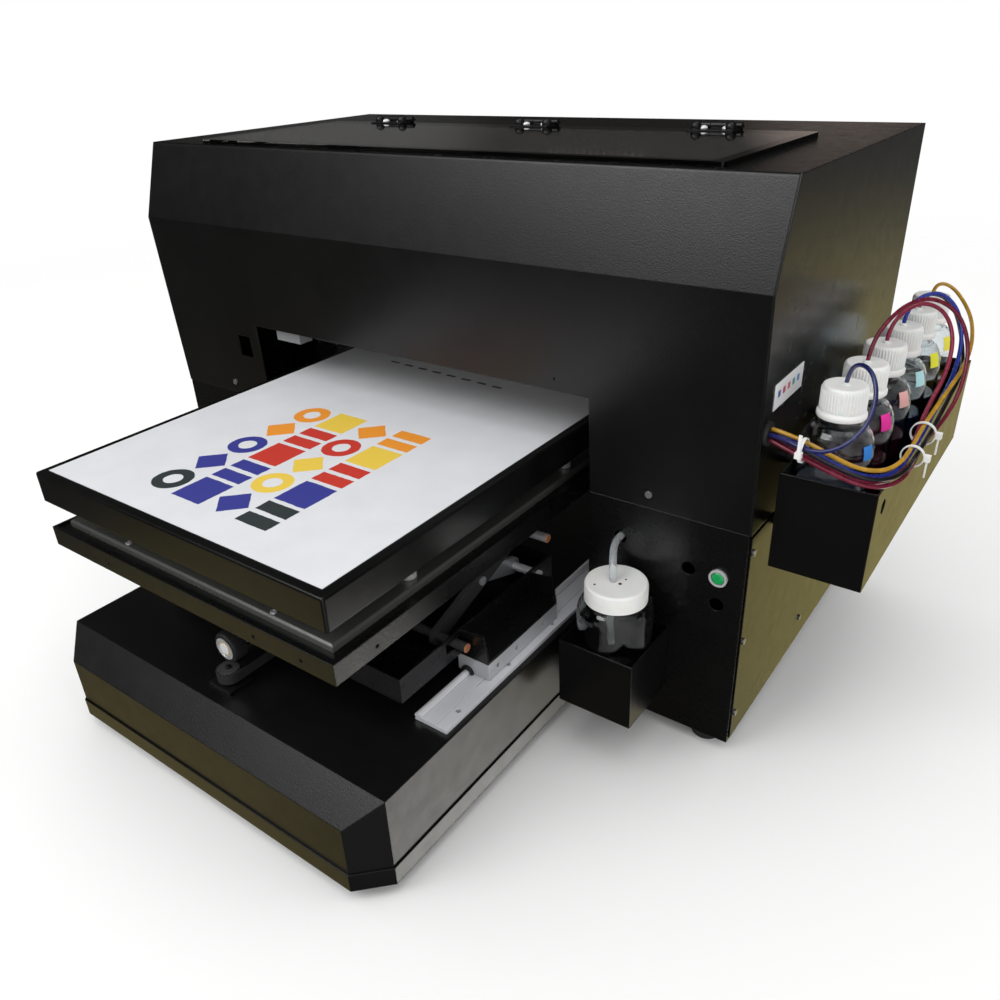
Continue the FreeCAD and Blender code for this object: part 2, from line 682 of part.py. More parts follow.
def capping_station():
    """Cap under the parked print head, on a stand on the right tower."""
    x = HOOD_WIDTH - CARRIAGE_PARK
    y = (CARRIAGE_FRONT + CARRIAGE_BACK) / 2
    top = head_z() - 1.2
    stand = box(x - 36, x + 36, y - 30, y + 30, SEAM_Z, top - 14)
    cap = box(x - 32, x + 32, y - 25, y + 25, top - 14, top)
    return [cut(fuse(stand, cap), box(x - 29, x + 29, y - 22, y + 22, top - 8, top + 1))]


def height_sensor():
    """Small pale sensor block that hangs behind the front panel's slot edge."""
    block = box(TOWER_WIDTH + 28, TOWER_WIDTH + 66, 12, 30, OPENING_TOP - 14, OPENING_TOP + 14)
    tab = box(TOWER_WIDTH + 34, TOWER_WIDTH + 60, FACE_Y - 2.5, 12, OPENING_TOP + 2, OPENING_TOP + 12)
    panel = prism_x([(FACE_Y, SEAM_Z), (FACE_Y + SHEET, SEAM_Z), (SHEET, BAND_LOW_Z),
                     (-5, BAND_LOW_Z), (-5, SEAM_Z)], 0, HOOD_WIDTH)
    return [fuse(block, tab).cut(panel)]


# ================================================================ table chassis
def chassis_edges():
    half = CHASSIS_WIDTH / 2
    return MID_X - half, MID_X + half


def block_out():
    """Outer side of a guide block, outwards from the middle."""
    return SHAFT_OUT + BLOCK_WIDTH - 10.5


def table_chassis():
    left, right = chassis_edges()
    floor = CHASSIS_Z + CHASSIS_PLATE
    top = CHASSIS_Z + CHASSIS_HEIGHT
    tray = box(left, right, CHASSIS_FRONT, CHASSIS_BACK, CHASSIS_Z, top)
    tray = tray.cut(box(left + CHASSIS_WALL, right - CHASSIS_WALL, CHASSIS_FRONT + CHASSIS_WALL,
                        CHASSIS_BACK - CHASSIS_WALL, floor, top + 1))
    ear = ear_right(right, floor)
    tray = fuse(tray, ear, mirrored(ear))
    bearing = box(MID_X - BEARING_HALF, MID_X + BEARING_HALF, CHASSIS_FRONT + CHASSIS_WALL,
                  CHASSIS_FRONT + CHASSIS_WALL + BEARING_LENGTH, floor, floor + 2 * BEARING_HALF)
    clamp = box(MID_X + 6, MID_X + 16, CLAMP_BACK - CLAMP_LENGTH, CLAMP_BACK,
                BELT_MID_Z - BELT_WIDTH / 2 - 1, CHASSIS_Z)
    inner, outer = belt_loop_points(PULLEY_RADIUS)
    clamp = clamp.cut(box(MID_X + inner - FIT, MID_X + outer + FIT, CLAMP_BACK - 100, CLAMP_BACK + 1,
                          BELT_MID_Z - BELT_WIDTH / 2 - 2, BELT_MID_Z + BELT_WIDTH / 2 + FIT))
    tray = fuse(tray, bearing, clamp)
    screw_bore = rod("y", MID_X, CHASSIS_FRONT - 5, LIFT_PIN_Z, SCREW_RADIUS + RUNNING, 25)
    pin_bore = rod("x", left - 5, LIFT_PIN_Y, LIFT_PIN_Z, ROD_RADIUS, CHASSIS_WIDTH + 10)
    slot_front = front_pin_y(LIFT_TURN_DEG) - ROD_RADIUS - 2
    slot_back = front_pin_y(0) + ROD_RADIUS + 2
    slot = box(left - 5, right + 5, slot_front, slot_back,
               LIFT_PIN_Z - ROD_RADIUS - FIT, LIFT_PIN_Z + ROD_RADIUS + FIT)
    slot = slot.cut(box(left + 5, right - 5, slot_front - 1, slot_back + 1, 0, 500))
    return [cut(tray, screw_bore, pin_bore, slot)]


def ear_right(right, floor):
    """Side ear on the guide block, with an upright box gusset against the chassis wall."""
    out = MID_X + block_out()
    back = BLOCK_FRONT + BLOCK_LENGTH
    plate = box(right - 1, out, BLOCK_FRONT, back, CHASSIS_Z, floor)
    front = prism_y([(right - 1, floor), (out, floor), (out - 4, floor + 27), (right - 1, floor + 23)],
                    BLOCK_FRONT, BLOCK_FRONT + 2)
    gusset = prism_y([(right - 1, floor), (out, floor), (out - 4, floor + 27), (right - 1, floor + 23)],
                     back - 2, back)
    return fuse(plate, front, gusset)


def front_pin_y(turn_deg):
    """Where the sliding pins stand when the arms have folded down by turn_deg."""
    length = math.hypot(LIFT_SPAN, LIFT_RISE)
    angle = math.atan2(LIFT_RISE, LIFT_SPAN) - math.radians(turn_deg)
    return LIFT_PIN_Y - length * math.cos(angle)


def guide_blocks():
    """Aluminium blocks that sit over the upper half of each table shaft."""
    out = MID_X + block_out()
    bottom = BASE_TOP + RAIL_HEIGHT + FIT
    block = box(out - BLOCK_WIDTH, out, BLOCK_FRONT, BLOCK_FRONT + BLOCK_LENGTH,
                bottom, CHASSIS_Z)
    bore = rod("y", rail_side(SHAFT_OUT), BLOCK_FRONT - 1, SHAFT_Z, SHAFT_RADIUS + RUNNING,
               BLOCK_LENGTH + 2)
    block = block.cut(bore)
    for y in (BLOCK_FRONT + 14, BLOCK_FRONT + 44, BLOCK_FRONT + 90):
        block = block.cut(rod("x", out - 4, y, bottom + 9, 2.4, 5))
    return [block, mirrored(block)]


def chassis_rod():
    left, right = chassis_edges()
    return [rod("x", left - 3, LIFT_PIN_Y, LIFT_PIN_Z, ROD_RADIUS, right - left + 6)]


# ================================================================ scissor lift
def rest_points():
    """(y, z) of the lower back, upper front, lower front and upper back pins at rest."""
    back, front = LIFT_PIN_Y, LIFT_PIN_Y - LIFT_SPAN
    low, high = LIFT_PIN_Z, LIFT_PIN_Z + LIFT_RISE
    return (back, low), (front, high), (front, low), (back, high)


def centre_pin():
    return LIFT_PIN_Y - LIFT_SPAN / 2, LIFT_PIN_Z + LIFT_RISE / 2


def lift_arms_inner():
    """Two arms from the chassis's back pin up to the platform's front slots."""
    low, high, _, _ = rest_points()
    x0 = MID_X + ARM_INNER_X
    arm = bar(*low, *high, ARM_HALF, x0, x0 + ARM_THICK)
    arm = arm.cut(rod("x", x0 - 1, *low, ROD_RADIUS + RUNNING, ARM_THICK + 2))
    mid = centre_pin()
    pin = rod("x", x0, *mid, ROD_RADIUS, MID_X + ARM_OUTER_X + ARM_THICK + 2 - x0)
    stub = rod("x", MID_X + HANGER_X - 3, *high, ROD_RADIUS, x0 - MID_X - HANGER_X + 3)
    arm = fuse(arm, pin, stub)
    return [arm, mirrored(arm)]


def lift_arms_outer():
    """Two arms from the sliding nut's pins up to the platform's back rod."""
    _, _, low, high = rest_points()
    x0 = MID_X + ARM_OUTER_X
    arm = bar(*low, *high, ARM_HALF, x0, x0 + ARM_THICK)
    arm = arm.cut(rod("x", x0 - 1, *high, ROD_RADIUS + RUNNING, ARM_THICK + 2))
    arm = arm.cut(rod("x", x0 - 1, *centre_pin(), ROD_RADIUS + RUNNING, ARM_THICK + 2))
    nut_face = MID_X + NUT_SIZE[0] / 2
    pin_start = nut_face - NUT_BORE_DEPTH + 1
    pin = rod("x", pin_start, *low, ROD_RADIUS, MID_X + ROD_REACH - pin_start)
    arm = fuse(arm, pin)
    return [arm, mirrored(arm)]


def lift_nut():
    wide, deep, high = NUT_SIZE
    y, z = rest_points()[2]
    block = box(MID_X - wide / 2, MID_X + wide / 2, y - deep / 2, y + deep / 2,
                z - high / 2, z + high / 2)
    block = block.cut(rod("y", MID_X, y - deep, z, SCREW_RADIUS + RUNNING, 2 * deep))
    for x in (MID_X - wide / 2, MID_X + wide / 2 - NUT_BORE_DEPTH):
        block = block.cut(rod("x", x, y, z, ROD_RADIUS + RUNNING, NUT_BORE_DEPTH))
    return [block]


def lift_screw():
    return [rod("y", MID_X, SCREW_FRONT, LIFT_PIN_Z, SCREW_RADIUS, SCREW_BACK - SCREW_FRONT)]


def lift_knob():
    knob = rod("y", MID_X, SCREW_FRONT, LIFT_PIN_Z, KNOB_RADIUS, KNOB_LENGTH)
    for i in range(12):
        angle = math.pi * i / 6
        knob = knob.cut(rod("y", MID_X + (KNOB_RADIUS + 1) * math.cos(angle), SCREW_FRONT - 1,
                            LIFT_PIN_Z + (KNOB_RADIUS + 1) * math.sin(angle), 2.2, KNOB_LENGTH + 2))
    return [knob.cut(rod("y", MID_X, SCREW_FRONT - 1, LIFT_PIN_Z, SCREW_RADIUS, KNOB_LENGTH + 2))]


def platform_hangers():
    """Side plates under the table tray, with a slot for the front pins and the back rod."""
    x0 = MID_X + HANGER_X
    low = LIFT_PIN_Z + LIFT_RISE - ARM_HALF
    top = TRAY_Z + TRAY_HEIGHT - TRAY_PLATE
    front = front_pin_y(LIFT_TURN_DEG) - 2 * ROD_RADIUS
    back = LIFT_PIN_Y + 2 * ROD_RADIUS
    plate = box(x0, x0 + HANGER_THICK, front, back, low, top)
    y, z = rest_points()[1]
    slot = box(x0 - 1, x0 + HANGER_THICK + 1, front_pin_y(LIFT_TURN_DEG) - ROD_RADIUS - FIT,
               y + ROD_RADIUS + 1, z - ROD_RADIUS - FIT, z + ROD_RADIUS + FIT)
    plate = plate.cut(slot)
    reach = MID_X + ROD_REACH
    stub = rod("x", x0 + HANGER_THICK, LIFT_PIN_Y, z, ROD_RADIUS, reach - x0 - HANGER_THICK)
    plate = fuse(plate, stub)
    return [plate, mirrored(plate)]


# ================================================================ table
def platen_edges():
    half = PLATEN_WIDTH / 2
    return MID_X - half, MID_X + half, PLATEN_FRONT, PLATEN_FRONT + PLATEN_LENGTH


def inner_box(edges, margin, z0, z1):
    left, right, front, back = edges
    return box(left + margin, right - margin, front + margin, back - margin, z0, z1)


def table_tray():
    """Plate with turned-down edges and a low rim."""
    edges = platen_edges()
    top = TRAY_Z + TRAY_HEIGHT
    tray = inner_box(edges, 0, TRAY_Z, top + TRAY_LIP)
    tray = tray.cut(inner_box(edges, PLATEN_WALL, TRAY_Z - 1, top - TRAY_PLATE))
    tray = tray.cut(inner_box(edges, 3, top, top + TRAY_LIP + 1))
    left, right, front, back = edges
    for x in (left + 90, right - 90, right - 36):
        tray = tray.cut(rod("y", x, front - 5, TRAY_Z + 8, 1.7, 12))
    for y in (front + 45, front + 180, back - 60):
        tray = tray.cut(rod("x", left - 5, y, TRAY_Z + 8, 1.7, PLATEN_WIDTH + 10))
    return [tray]


def locating_plate():
    plate = inner_box(platen_edges(), LOCATOR_MARGIN, TRAY_Z + TRAY_HEIGHT,
                      TRAY_Z + TRAY_HEIGHT + LOCATOR_THICK)
    edges = [e for e in plate.Edges if abs(e.Vertexes[0].Z - plate.BoundBox.ZMax) < 0.01
             and abs(e.Vertexes[1].Z - plate.BoundBox.ZMax) < 0.01]
    return [plate.makeChamfer(LOCATOR_THICK / 4, edges)]


def levelling_posts():
    """Four posts with broad round heads between the locating plate and the platen."""
    left, right, _, _ = platen_edges()
    low = TRAY_Z + TRAY_HEIGHT + LOCATOR_THICK
    high = PLATEN_Z + PLATEN_HEIGHT - PLATEN_TOP_THICK
    posts = []
    for x in (left + POST_EDGE, right - POST_EDGE):
        for y in (POST_FRONT_Y, POST_BACK_Y):
            posts.append(turned([(0, 0), (POST_HEAD_RADIUS, 0), (POST_HEAD_RADIUS, POST_HEAD_HEIGHT - 1.5),
                                 (POST_HEAD_RADIUS - 1.5, POST_HEAD_HEIGHT), (POST_RADIUS, POST_HEAD_HEIGHT),
                                 (POST_RADIUS, high - low), (0, high - low)], x, y, low))
    return posts


def platen_frame():
    """Deep plate with turned-down edges and a shallow recess for the printing board."""
    edges = platen_edges()
    top = PLATEN_Z + PLATEN_HEIGHT
    frame = inner_box(edges, 0, PLATEN_Z, top)
    frame = frame.makeFillet(2.5, [e for e in frame.Edges if e.Length < PLATEN_HEIGHT + 1
                                   or abs(e.CenterOfMass.z - top) < 0.01])
    frame = frame.cut(inner_box(edges, PLATEN_WALL, PLATEN_Z - 1, top - PLATEN_TOP_THICK))
    return [frame.cut(inner_box(edges, BOARD_MARGIN, top - BOARD_SINK, top + 1))]


def print_board():
    top = PLATEN_Z + PLATEN_HEIGHT - BOARD_SINK
    return [inner_box(platen_edges(), BOARD_MARGIN, top, top + BOARD_THICK)]


# ================================================================ print carriage
def head_z():
    return PLATEN_Z + PLATEN_HEIGHT - BOARD_SINK + BOARD_THICK + HEAD_GAP


def print_carriage():
    """Box that hangs on the gantry's shaft and holds head and lamp."""
    x0 = HOOD_WIDTH - CARRIAGE_PARK - CARRIAGE_WIDTH / 2
    x1 = x0 + CARRIAGE_WIDTH
    body = box(x0, x1, CARRIAGE_FRONT, CARRIAGE_BACK, CARRIAGE_Z, CARRIAGE_TOP)
    body = body.cut(box(x0 + CARRIAGE_WALL, x1 - CARRIAGE_WALL, CARRIAGE_FRONT + CARRIAGE_WALL,
                        CARRIAGE_BACK - 12, CARRIAGE_Z + CARRIAGE_WALL, CARRIAGE_TOP + 1))
    shaft_y, shaft_z = BEAM_FRONT - GUIDE_RADIUS, BEAM_Z + BEAM_SIZE / 2
    bearing = box(x0, x1, CARRIAGE_BACK - 1, BEAM_FRONT - 2, shaft_z - 13, shaft_z + 13)
    clip = box((x0 + x1) / 2 - 12, (x0 + x1) / 2 + 12, CARRIAGE_BACK - 12, CARRIAGE_BACK,
               CARRIAGE_TOP, X_BELT_Z - X_PULLEY_RADIUS - FIT - BELT_THICK - FIT)
    body = fuse(body, bearing, clip)
    body = body.cut(rod("x", x0 - 1, shaft_y, shaft_z, GUIDE_RADIUS + RUNNING, CARRIAGE_WIDTH + 2))
    y = (CARRIAGE_FRONT + CARRIAGE_BACK) / 2
    x = (x0 + x1) / 2
    window = box(x - HEAD_WIDTH / 2, x + HEAD_WIDTH / 2, y - HEAD_DEPTH / 2, y + HEAD_DEPTH / 2,
                 CARRIAGE_Z - 1, CARRIAGE_Z + CARRIAGE_WALL + 1)
    return [body.cut(window)]


def print_head():
    x = HOOD_WIDTH - CARRIAGE_PARK
    y = (CARRIAGE_FRONT + CARRIAGE_BACK) / 2
    body = box(x - HEAD_WIDTH / 2, x + HEAD_WIDTH / 2, y - HEAD_DEPTH / 2, y + HEAD_DEPTH / 2,
               head_z(), CARRIAGE_Z + CARRIAGE_WALL)
    flange = box(x - HEAD_WIDTH / 2 - 6, x + HEAD_WIDTH / 2 + 6, y - HEAD_DEPTH / 2 - 4,
                 y + HEAD_DEPTH / 2 + 4, CARRIAGE_Z + CARRIAGE_WALL, CARRIAGE_Z + CARRIAGE_WALL + 4)
    manifold = box(x - 22, x + 22, y - 16, y + 16, CARRIAGE_Z + CARRIAGE_WALL + 4,
                   CARRIAGE_Z + CARRIAGE_WALL + 46)
    return [fuse(body, flange, manifold)]


def uv_lamp():
    """Curing lamp with cooling fins on the carriage's left side."""
    x1 = HOOD_WIDTH - CARRIAGE_PARK - CARRIAGE_WIDTH / 2
    lamp = box(x1 - LAMP_WIDTH, x1, CARRIAGE_FRONT + 10, CARRIAGE_FRONT + 80, head_z() + 3,
               head_z() + 70)
    for i in range(6):
        y = CARRIAGE_FRONT + 16 + 10 * i
        lamp = lamp.cut(box(x1 - LAMP_WIDTH - 1, x1 - LAMP_WIDTH + 12, y, y + 6,
                            head_z() + 25, head_z() + 71))
    return [lamp]


# ================================================================ lid
def hinge_axis():
    return LID_FRONT + LID_DEPTH + HINGE_GAP, HOOD_TOP + LID_THICK + HINGE_LIFT


def window_lid():
    lid = box(LID_LEFT, LID_LEFT + LID_WIDTH, LID_FRONT, LID_FRONT + LID_DEPTH,
              HOOD_TOP, HOOD_TOP + LID_THICK)
    return [lid.makeFillet(4, [e for e in lid.Edges if e.Length < LID_THICK + 0.1])]


def hinge_barrel(x0, x1):
    y, z = hinge_axis()
    return rod("x", x0, y, z, KNUCKLE_RADIUS, x1 - x0)


def lid_hinge_base():
    """Rear hinge leaves on the hood's top, with two outer knuckles and the pin."""
    y, z = hinge_axis()
    leaves = []
    for x in HINGE_XS:
        third = HINGE_HALF / 3
        leaf = box(x - HINGE_HALF, x + HINGE_HALF, y + 4, y + LEAF_DEPTH + 4, HOOD_TOP, HOOD_TOP + LEAF_THICK)
        for x0, x1 in ((x - HINGE_HALF, x - third - FIT), (x + third + FIT, x + HINGE_HALF)):
            web = box(x0, x1, y, y + 5, HOOD_TOP, z)
            web = web.cut(box(x0 - 1, x1 + 1, y + 1.2, y + 6, HOOD_TOP + LEAF_THICK, z - 1.5))
            leaf = leaf.fuse(web.common(box(x0, x1, y, y + 5, HOOD_TOP, z))).fuse(hinge_barrel(x0, x1))
        pin = rod("x", x - HINGE_HALF, y, z, HINGE_PIN_RADIUS, 2 * HINGE_HALF)
        leaves.append(fuse(leaf, pin))
    return leaves


def lid_hinge_leaves():
    """Front hinge leaves on the lid with a middle knuckle, each held by two dome nuts."""
    y, z = hinge_axis()
    top = HOOD_TOP + LID_THICK
    leaves = []
    for x in HINGE_XS:
        third = HINGE_HALF / 3
        leaf = box(x - HINGE_HALF, x + HINGE_HALF, y - LEAF_DEPTH - 4, y - 4, top, top + LEAF_THICK)
        tongue = box(x - third, x + third, y - 5, y, top, z)
        tongue = tongue.cut(box(x - third - 1, x + third + 1, y - 6, y - 1.2, top + LEAF_THICK, z + 1))
        knuckle = hinge_barrel(x - third, x + third)
        leaf = fuse(leaf, tongue, knuckle)
        leaf = leaf.cut(rod("x", x - third - 1, y, z, HINGE_PIN_RADIUS + RUNNING, 2 * third + 2))
        leaves.append(leaf)
        for offset in (-18.0, 18.0):
            dome = Part.makeSphere(NUT_RADIUS, V(x + offset, y - 14, top + LEAF_THICK + 2))
            dome = dome.common(box(x + offset - 9, x + offset + 9, y - 23, y - 5, top + LEAF_THICK, top + 20))
            leaves.append(dome)
    return leaves


# ================================================================ ink supply
def ink_tray_edges():
    left = HOOD_WIDTH + TRAY_GAP
    return left, left + INK_TRAY_WIDTH, INK_TRAY_FRONT, INK_TRAY_FRONT + INK_TRAY_LENGTH


def ink_tray():
    """Open sheet trough with a mounting foot that reaches back under the hood's side."""
    left, right, front, back = ink_tray_edges()
    tray = box(left, right, front, back, INK_TRAY_Z, INK_TRAY_TOP)
    tray = tray.cut(box(left + SHEET, right - SHEET, front + SHEET, back - SHEET,
                        INK_TRAY_Z + SHEET, INK_TRAY_TOP + 1))
    hole = rod("x", right - 5, front + 24, INK_TRAY_TOP - 20, 6.5, 10)
    standoffs = [rod("x", HOOD_WIDTH, y, INK_TRAY_TOP - 14, 5, TRAY_GAP)
                 for y in (front + 60, (front + back) / 2, back - 60)]
    low_standoffs = [rod("x", HOOD_WIDTH, y, INK_TRAY_Z + 12, 5, TRAY_GAP)
                     for y in (front + 60, back - 60)]
    return [fuse(tray.cut(hole), *standoffs, *low_standoffs)]


def bottle_axes():
    x = HOOD_WIDTH + TRAY_GAP + INK_TRAY_WIDTH / 2 - 6
    return [(x, BOTTLE_FIRST_Y + BOTTLE_PITCH * i) for i in range(BOTTLE_COUNT)]


def bottle_profile(radius, body, shoulder, neck_radius, neck, wall):
    """Wall of a bottle as (radius, height) points, up the outside and down the inside."""
    outside = [(0, 0), (radius - 3, 0), (radius, 3), (radius, body)]
    steps = 6
    for i in range(1, steps + 1):
        angle = math.pi / 2 * i / steps
        outside.append((neck_radius + (radius - neck_radius) * math.cos(angle),
                        body + shoulder * math.sin(angle)))
    outside.append((neck_radius, body + shoulder + neck))
    inner = [(neck_radius - wall, body + shoulder + neck), (neck_radius - wall, body + shoulder - wall)]
    for i in range(steps - 1, 0, -1):
        angle = math.pi / 2 * i / steps
        inner.append((neck_radius - wall + (radius - neck_radius) * math.cos(angle),
                      body + (shoulder - wall) * math.sin(angle)))
    inner += [(radius - wall, body), (radius - wall, wall + 2), (radius - wall - 2, wall), (0, wall)]
    return outside + inner


def ink_bottles():
    profile = bottle_profile(BOTTLE_RADIUS, BOTTLE_BODY, BOTTLE_SHOULDER, NECK_RADIUS,
                             NECK_HEIGHT, BOTTLE_WALL)
    return [turned(profile, x, y, INK_TRAY_Z + SHEET) for x, y in bottle_axes()]


def cap_z():
    """Height of an ink cap's lower edge."""
    return INK_TRAY_Z + SHEET + BOTTLE_BODY + BOTTLE_SHOULDER + NECK_HEIGHT + CAP_TOP - CAP_HEIGHT


def bottle_caps():
    """Screw caps: a hollow skirt that closes on the bottle's neck."""
    neck_top = CAP_HEIGHT - CAP_TOP
    ink = [(NECK_RADIUS + FIT, neck_top), (NECK_RADIUS + FIT, CAP_FLARE_HEIGHT),
           (CAP_RADIUS - CAP_SKIRT, 0), (CAP_RADIUS + CAP_FLARE, 0),
           (CAP_RADIUS + CAP_FLARE, CAP_FLARE_HEIGHT), (CAP_RADIUS, CAP_FLARE_HEIGHT + 1.5),
           (CAP_RADIUS, CAP_HEIGHT - 1), (CAP_RADIUS - 1, CAP_HEIGHT), (0, CAP_HEIGHT),
           (0, neck_top)]
    caps = [turned(ink, x, y, cap_z()) for x, y in bottle_axes()]
    inside = WASTE_NECK_RADIUS + FIT
    low = WASTE_CAP_HEIGHT - CAP_TOP
    waste = turned([(inside, low), (inside, 0), (WASTE_CAP_RADIUS, 0),
                    (WASTE_CAP_RADIUS, WASTE_CAP_HEIGHT - 1.5),
                    (WASTE_CAP_RADIUS - 1.5, WASTE_CAP_HEIGHT), (0, WASTE_CAP_HEIGHT), (0, low)],
                   HOOD_WIDTH + WASTE_X, WASTE_Y, waste_cap_z())
    hole = rod("z", *waste_tube_entry(), waste_cap_z() - 5, WASTE_TUBE_DIAMETER / 2 + 1, 40)
    return caps + [waste.cut(hole)]


def waste_cap_z():
    return WASTE_Z + SHEET + WASTE_BODY + WASTE_SHOULDER + WASTE_NECK_HEIGHT + CAP_TOP - WASTE_CAP_HEIGHT


def waste_tube_entry():
    return HOOD_WIDTH + WASTE_X - 2, WASTE_Y - 2


def waste_bracket():
    """Open sheet pocket on the right tower's front."""
    x = HOOD_WIDTH + WASTE_X
    front = WASTE_Y - WASTE_HALF
    pocket = box(x - WASTE_HALF, x + WASTE_HALF, front, FACE_Y, WASTE_Z, WASTE_TOP)
    return [pocket.cut(box(x - WASTE_HALF + SHEET, x + WASTE_HALF - SHEET, front + SHEET,
                           FACE_Y - SHEET, WASTE_Z + SHEET, WASTE_TOP + 1))]


def waste_bottle():
    profile = bottle_profile(WASTE_RADIUS, WASTE_BODY, WASTE_SHOULDER, WASTE_NECK_RADIUS,
                             WASTE_NECK_HEIGHT, BOTTLE_WALL)
    return [turned(profile, HOOD_WIDTH + WASTE_X, WASTE_Y, WASTE_Z + SHEET)]


# ================================================================ cords
# Points run from the bottle or the tower panel; x counts from the hood's right side.
INK_TUBES = {
    "ink_tube_dark_blue": [(47, 50, 390), (57, 41, 399), (69, 30, 396), (76, 20, 382), (75, 10, 364),
                           (65, 2, 349), (50, -1, 340), (33, 1.5, 338.5), (17, 7, 341),
                           (3.7, 12.6, 339.4)],
    "ink_tube_dark_red": [(46, 113, 391), (50, 130, 405), (58, 161, 415), (74, 190, 415),
                          (94, 206, 398), (107, 200, 371), (110, 178, 342), (107, 145, 327),
                          (100.5, 108, 318.5), (101, 72, 314), (101, 42, 313), (93, 18, 314),
                          (78, 6, 317), (55, 4, 323), (33, 5, 330), (14.5, 12, 332),
                          (3.7, 14.3, 334.3)],
    "ink_tube_red": [(46, 171, 390), (52, 184, 402), (65, 198, 408), (82, 203, 400), (94, 194, 381),
                     (97, 172, 357), (92.5, 140, 336), (93, 107, 320), (96, 74, 315), (96, 44, 314),
                     (89, 22, 315), (75, 10, 318), (55, 9, 324), (33, 10, 331), (14, 16.5, 333),
                     (3.7, 19.7, 334.3)],
    "ink_tube_blue": [(46, 230, 390), (53, 242, 401), (68, 252, 404), (85, 252, 390), (95, 238, 367),
                      (99, 205, 349), (99, 160, 338), (98, 112, 326), (97, 74, 320), (96, 44, 319),
                      (89, 22, 320), (75, 10, 323), (55, 9, 329), (33, 10, 336), (14, 17.5, 337.5),
                      (3.7, 21.4, 339.4)],
    "ink_tube_black": [(47, 289, 387), (54, 295, 391), (66, 298, 387), (79, 290, 375),
                       (90, 268, 360), (99, 238, 350), (104, 205, 344.5), (104, 165, 339),
                       (103, 110, 325), (101.5, 74, 320), (101, 42, 319), (93, 18, 320),
                       (78, 6, 323), (55, 4, 329), (33, 5, 336), (14.5, 12, 337), (3.7, 17, 338)],
    "ink_tube_yellow": [(46, 345, 385), (53, 347, 389), (64, 345, 385), (76, 336, 376),
                        (88, 314, 368), (97, 280, 362), (103, 240, 357), (104.5, 200, 351.5),
                        (101.5, 158, 344), (97, 110, 331.5), (97, 74, 325), (96, 44, 324),
                        (89, 22, 325), (75, 10, 328), (55, 9, 334), (33, 10, 341), (14, 15.5, 342),
                        (3.7, 17, 342.6)],
}
WASTE_TUBE = [(-124, 24, 207), (-124, 8, 208), (-121, -8, 207), (-114, -22, 202),
              (-109, -30, 190), (-108, -31, 172), (-110, -30, 152), (-113, -27, 130),
              (-112, -24, 110)]


def ink_tube(name):
    """Each tube starts on the middle of its own bottle's cap."""
    x, y = bottle_axes()[list(INK_TUBES).index(name)]
    placed = [(x, y, cap_z() + CAP_HEIGHT + FIT)]
    placed += [(HOOD_WIDTH + a, b, c) for a, b, c in INK_TUBES[name]]
    return [cord(name, placed, INK_TUBE_DIAMETER)]


def waste_tube():
    placed = [(HOOD_WIDTH + x, y, z) for x, y, z in WASTE_TUBE]
    return [cord("waste_tube", placed, WASTE_TUBE_DIAMETER)]


def zip_tie(axis, x, y, z, radius):
    """A narrow band round the tube bundle with its square head and cut tail."""
    start = {"x": (x - 1.3, y, z), "y": (x, y - 1.3, z)}[axis]
    band = rod(axis, *start, radius + 1, 2.6).cut(rod(axis, *start, radius, 2.6))
    if axis == "x":
        edge = y - radius - 0.5
        head = box(x - 2.5, x + 2.5, edge - 4.5, edge, z - 2, z + 3)
        tail = box(x - 1.3, x + 1.3, edge - 3, edge - 1.8, z + 2.5, z + 17)
    else:
        edge = x + radius + 0.5
        head = box(edge, edge + 4.5, y - 2.5, y + 2.5, z - 2, z + 3)
        tail = box(edge + 1.8, edge + 3, y - 1.3, y + 1.3, z - 16, z - 1)
    return fuse(band, head, tail)


def zip_ties():
    side = HOOD_WIDTH
    return [zip_tie("x", side + 33, 6, 335.5, 9.0), zip_tie("y", side + 99, 73, 319.5, 8.2),
            zip_tie("y", side + 98, 109, 325, 9.1)]


# ================================================================ fasteners
def fasteners():
    """Panel screws, and the spacers that tie the towers to the base box."""
    heads = []
    for z in (45, 130, 225):
        for y in (FACE_Y + 10, (FACE_Y + BODY_DEPTH) / 2, BODY_DEPTH - 10):
            if y == (FACE_Y + BODY_DEPTH) / 2 and z == 130:
                continue
            heads.append(screw_head("x", 0, y, z, height=-1.6))
            heads.append(screw_head("x", HOOD_WIDTH, y, z))
    for x, z in ((96, SEAM_Z + 14), (HOOD_WIDTH - 96, SEAM_Z + 14)):
        y = FACE_Y - (z - SEAM_Z) * FACE_Y / (BAND_LOW_Z - SEAM_Z)
        head = box(x - 9, x + 9, -5, y + 0.2, z - 9, z + 9).common(rod("y", x, y - 1.6, z, 3.4, 6))
        panel = prism_x([(FACE_Y, SEAM_Z), (BODY_DEPTH, SEAM_Z), (BODY_DEPTH, BAND_LOW_Z),
                         (0, BAND_LOW_Z)], x - 9, x + 9)
        heads.append(head.cut(panel))
    for x in (24, HOOD_WIDTH - 24):
        for z in (280, 380, 500):
            heads.append(screw_head("y", x, BODY_DEPTH, z))
    for y in (60, 200, 340):
        for x0, x1 in ((TOWER_WIDTH, BASE_LEFT), (BASE_RIGHT, HOOD_WIDTH - TOWER_WIDTH)):
            heads.append(rod("x", x0, y, 70, 8, x1 - x0))
    return heads


# ================================================================ export
def extents():
    """Left, right, front and back of the whole object without its cords."""
    right = HOOD_WIDTH + TRAY_GAP + INK_TRAY_WIDTH
    back = PLATEN_FRONT + PLATEN_LENGTH
    return -1.6, right, BASE_FRONT - SHEET, max(BODY_DEPTH + 2.5, back)


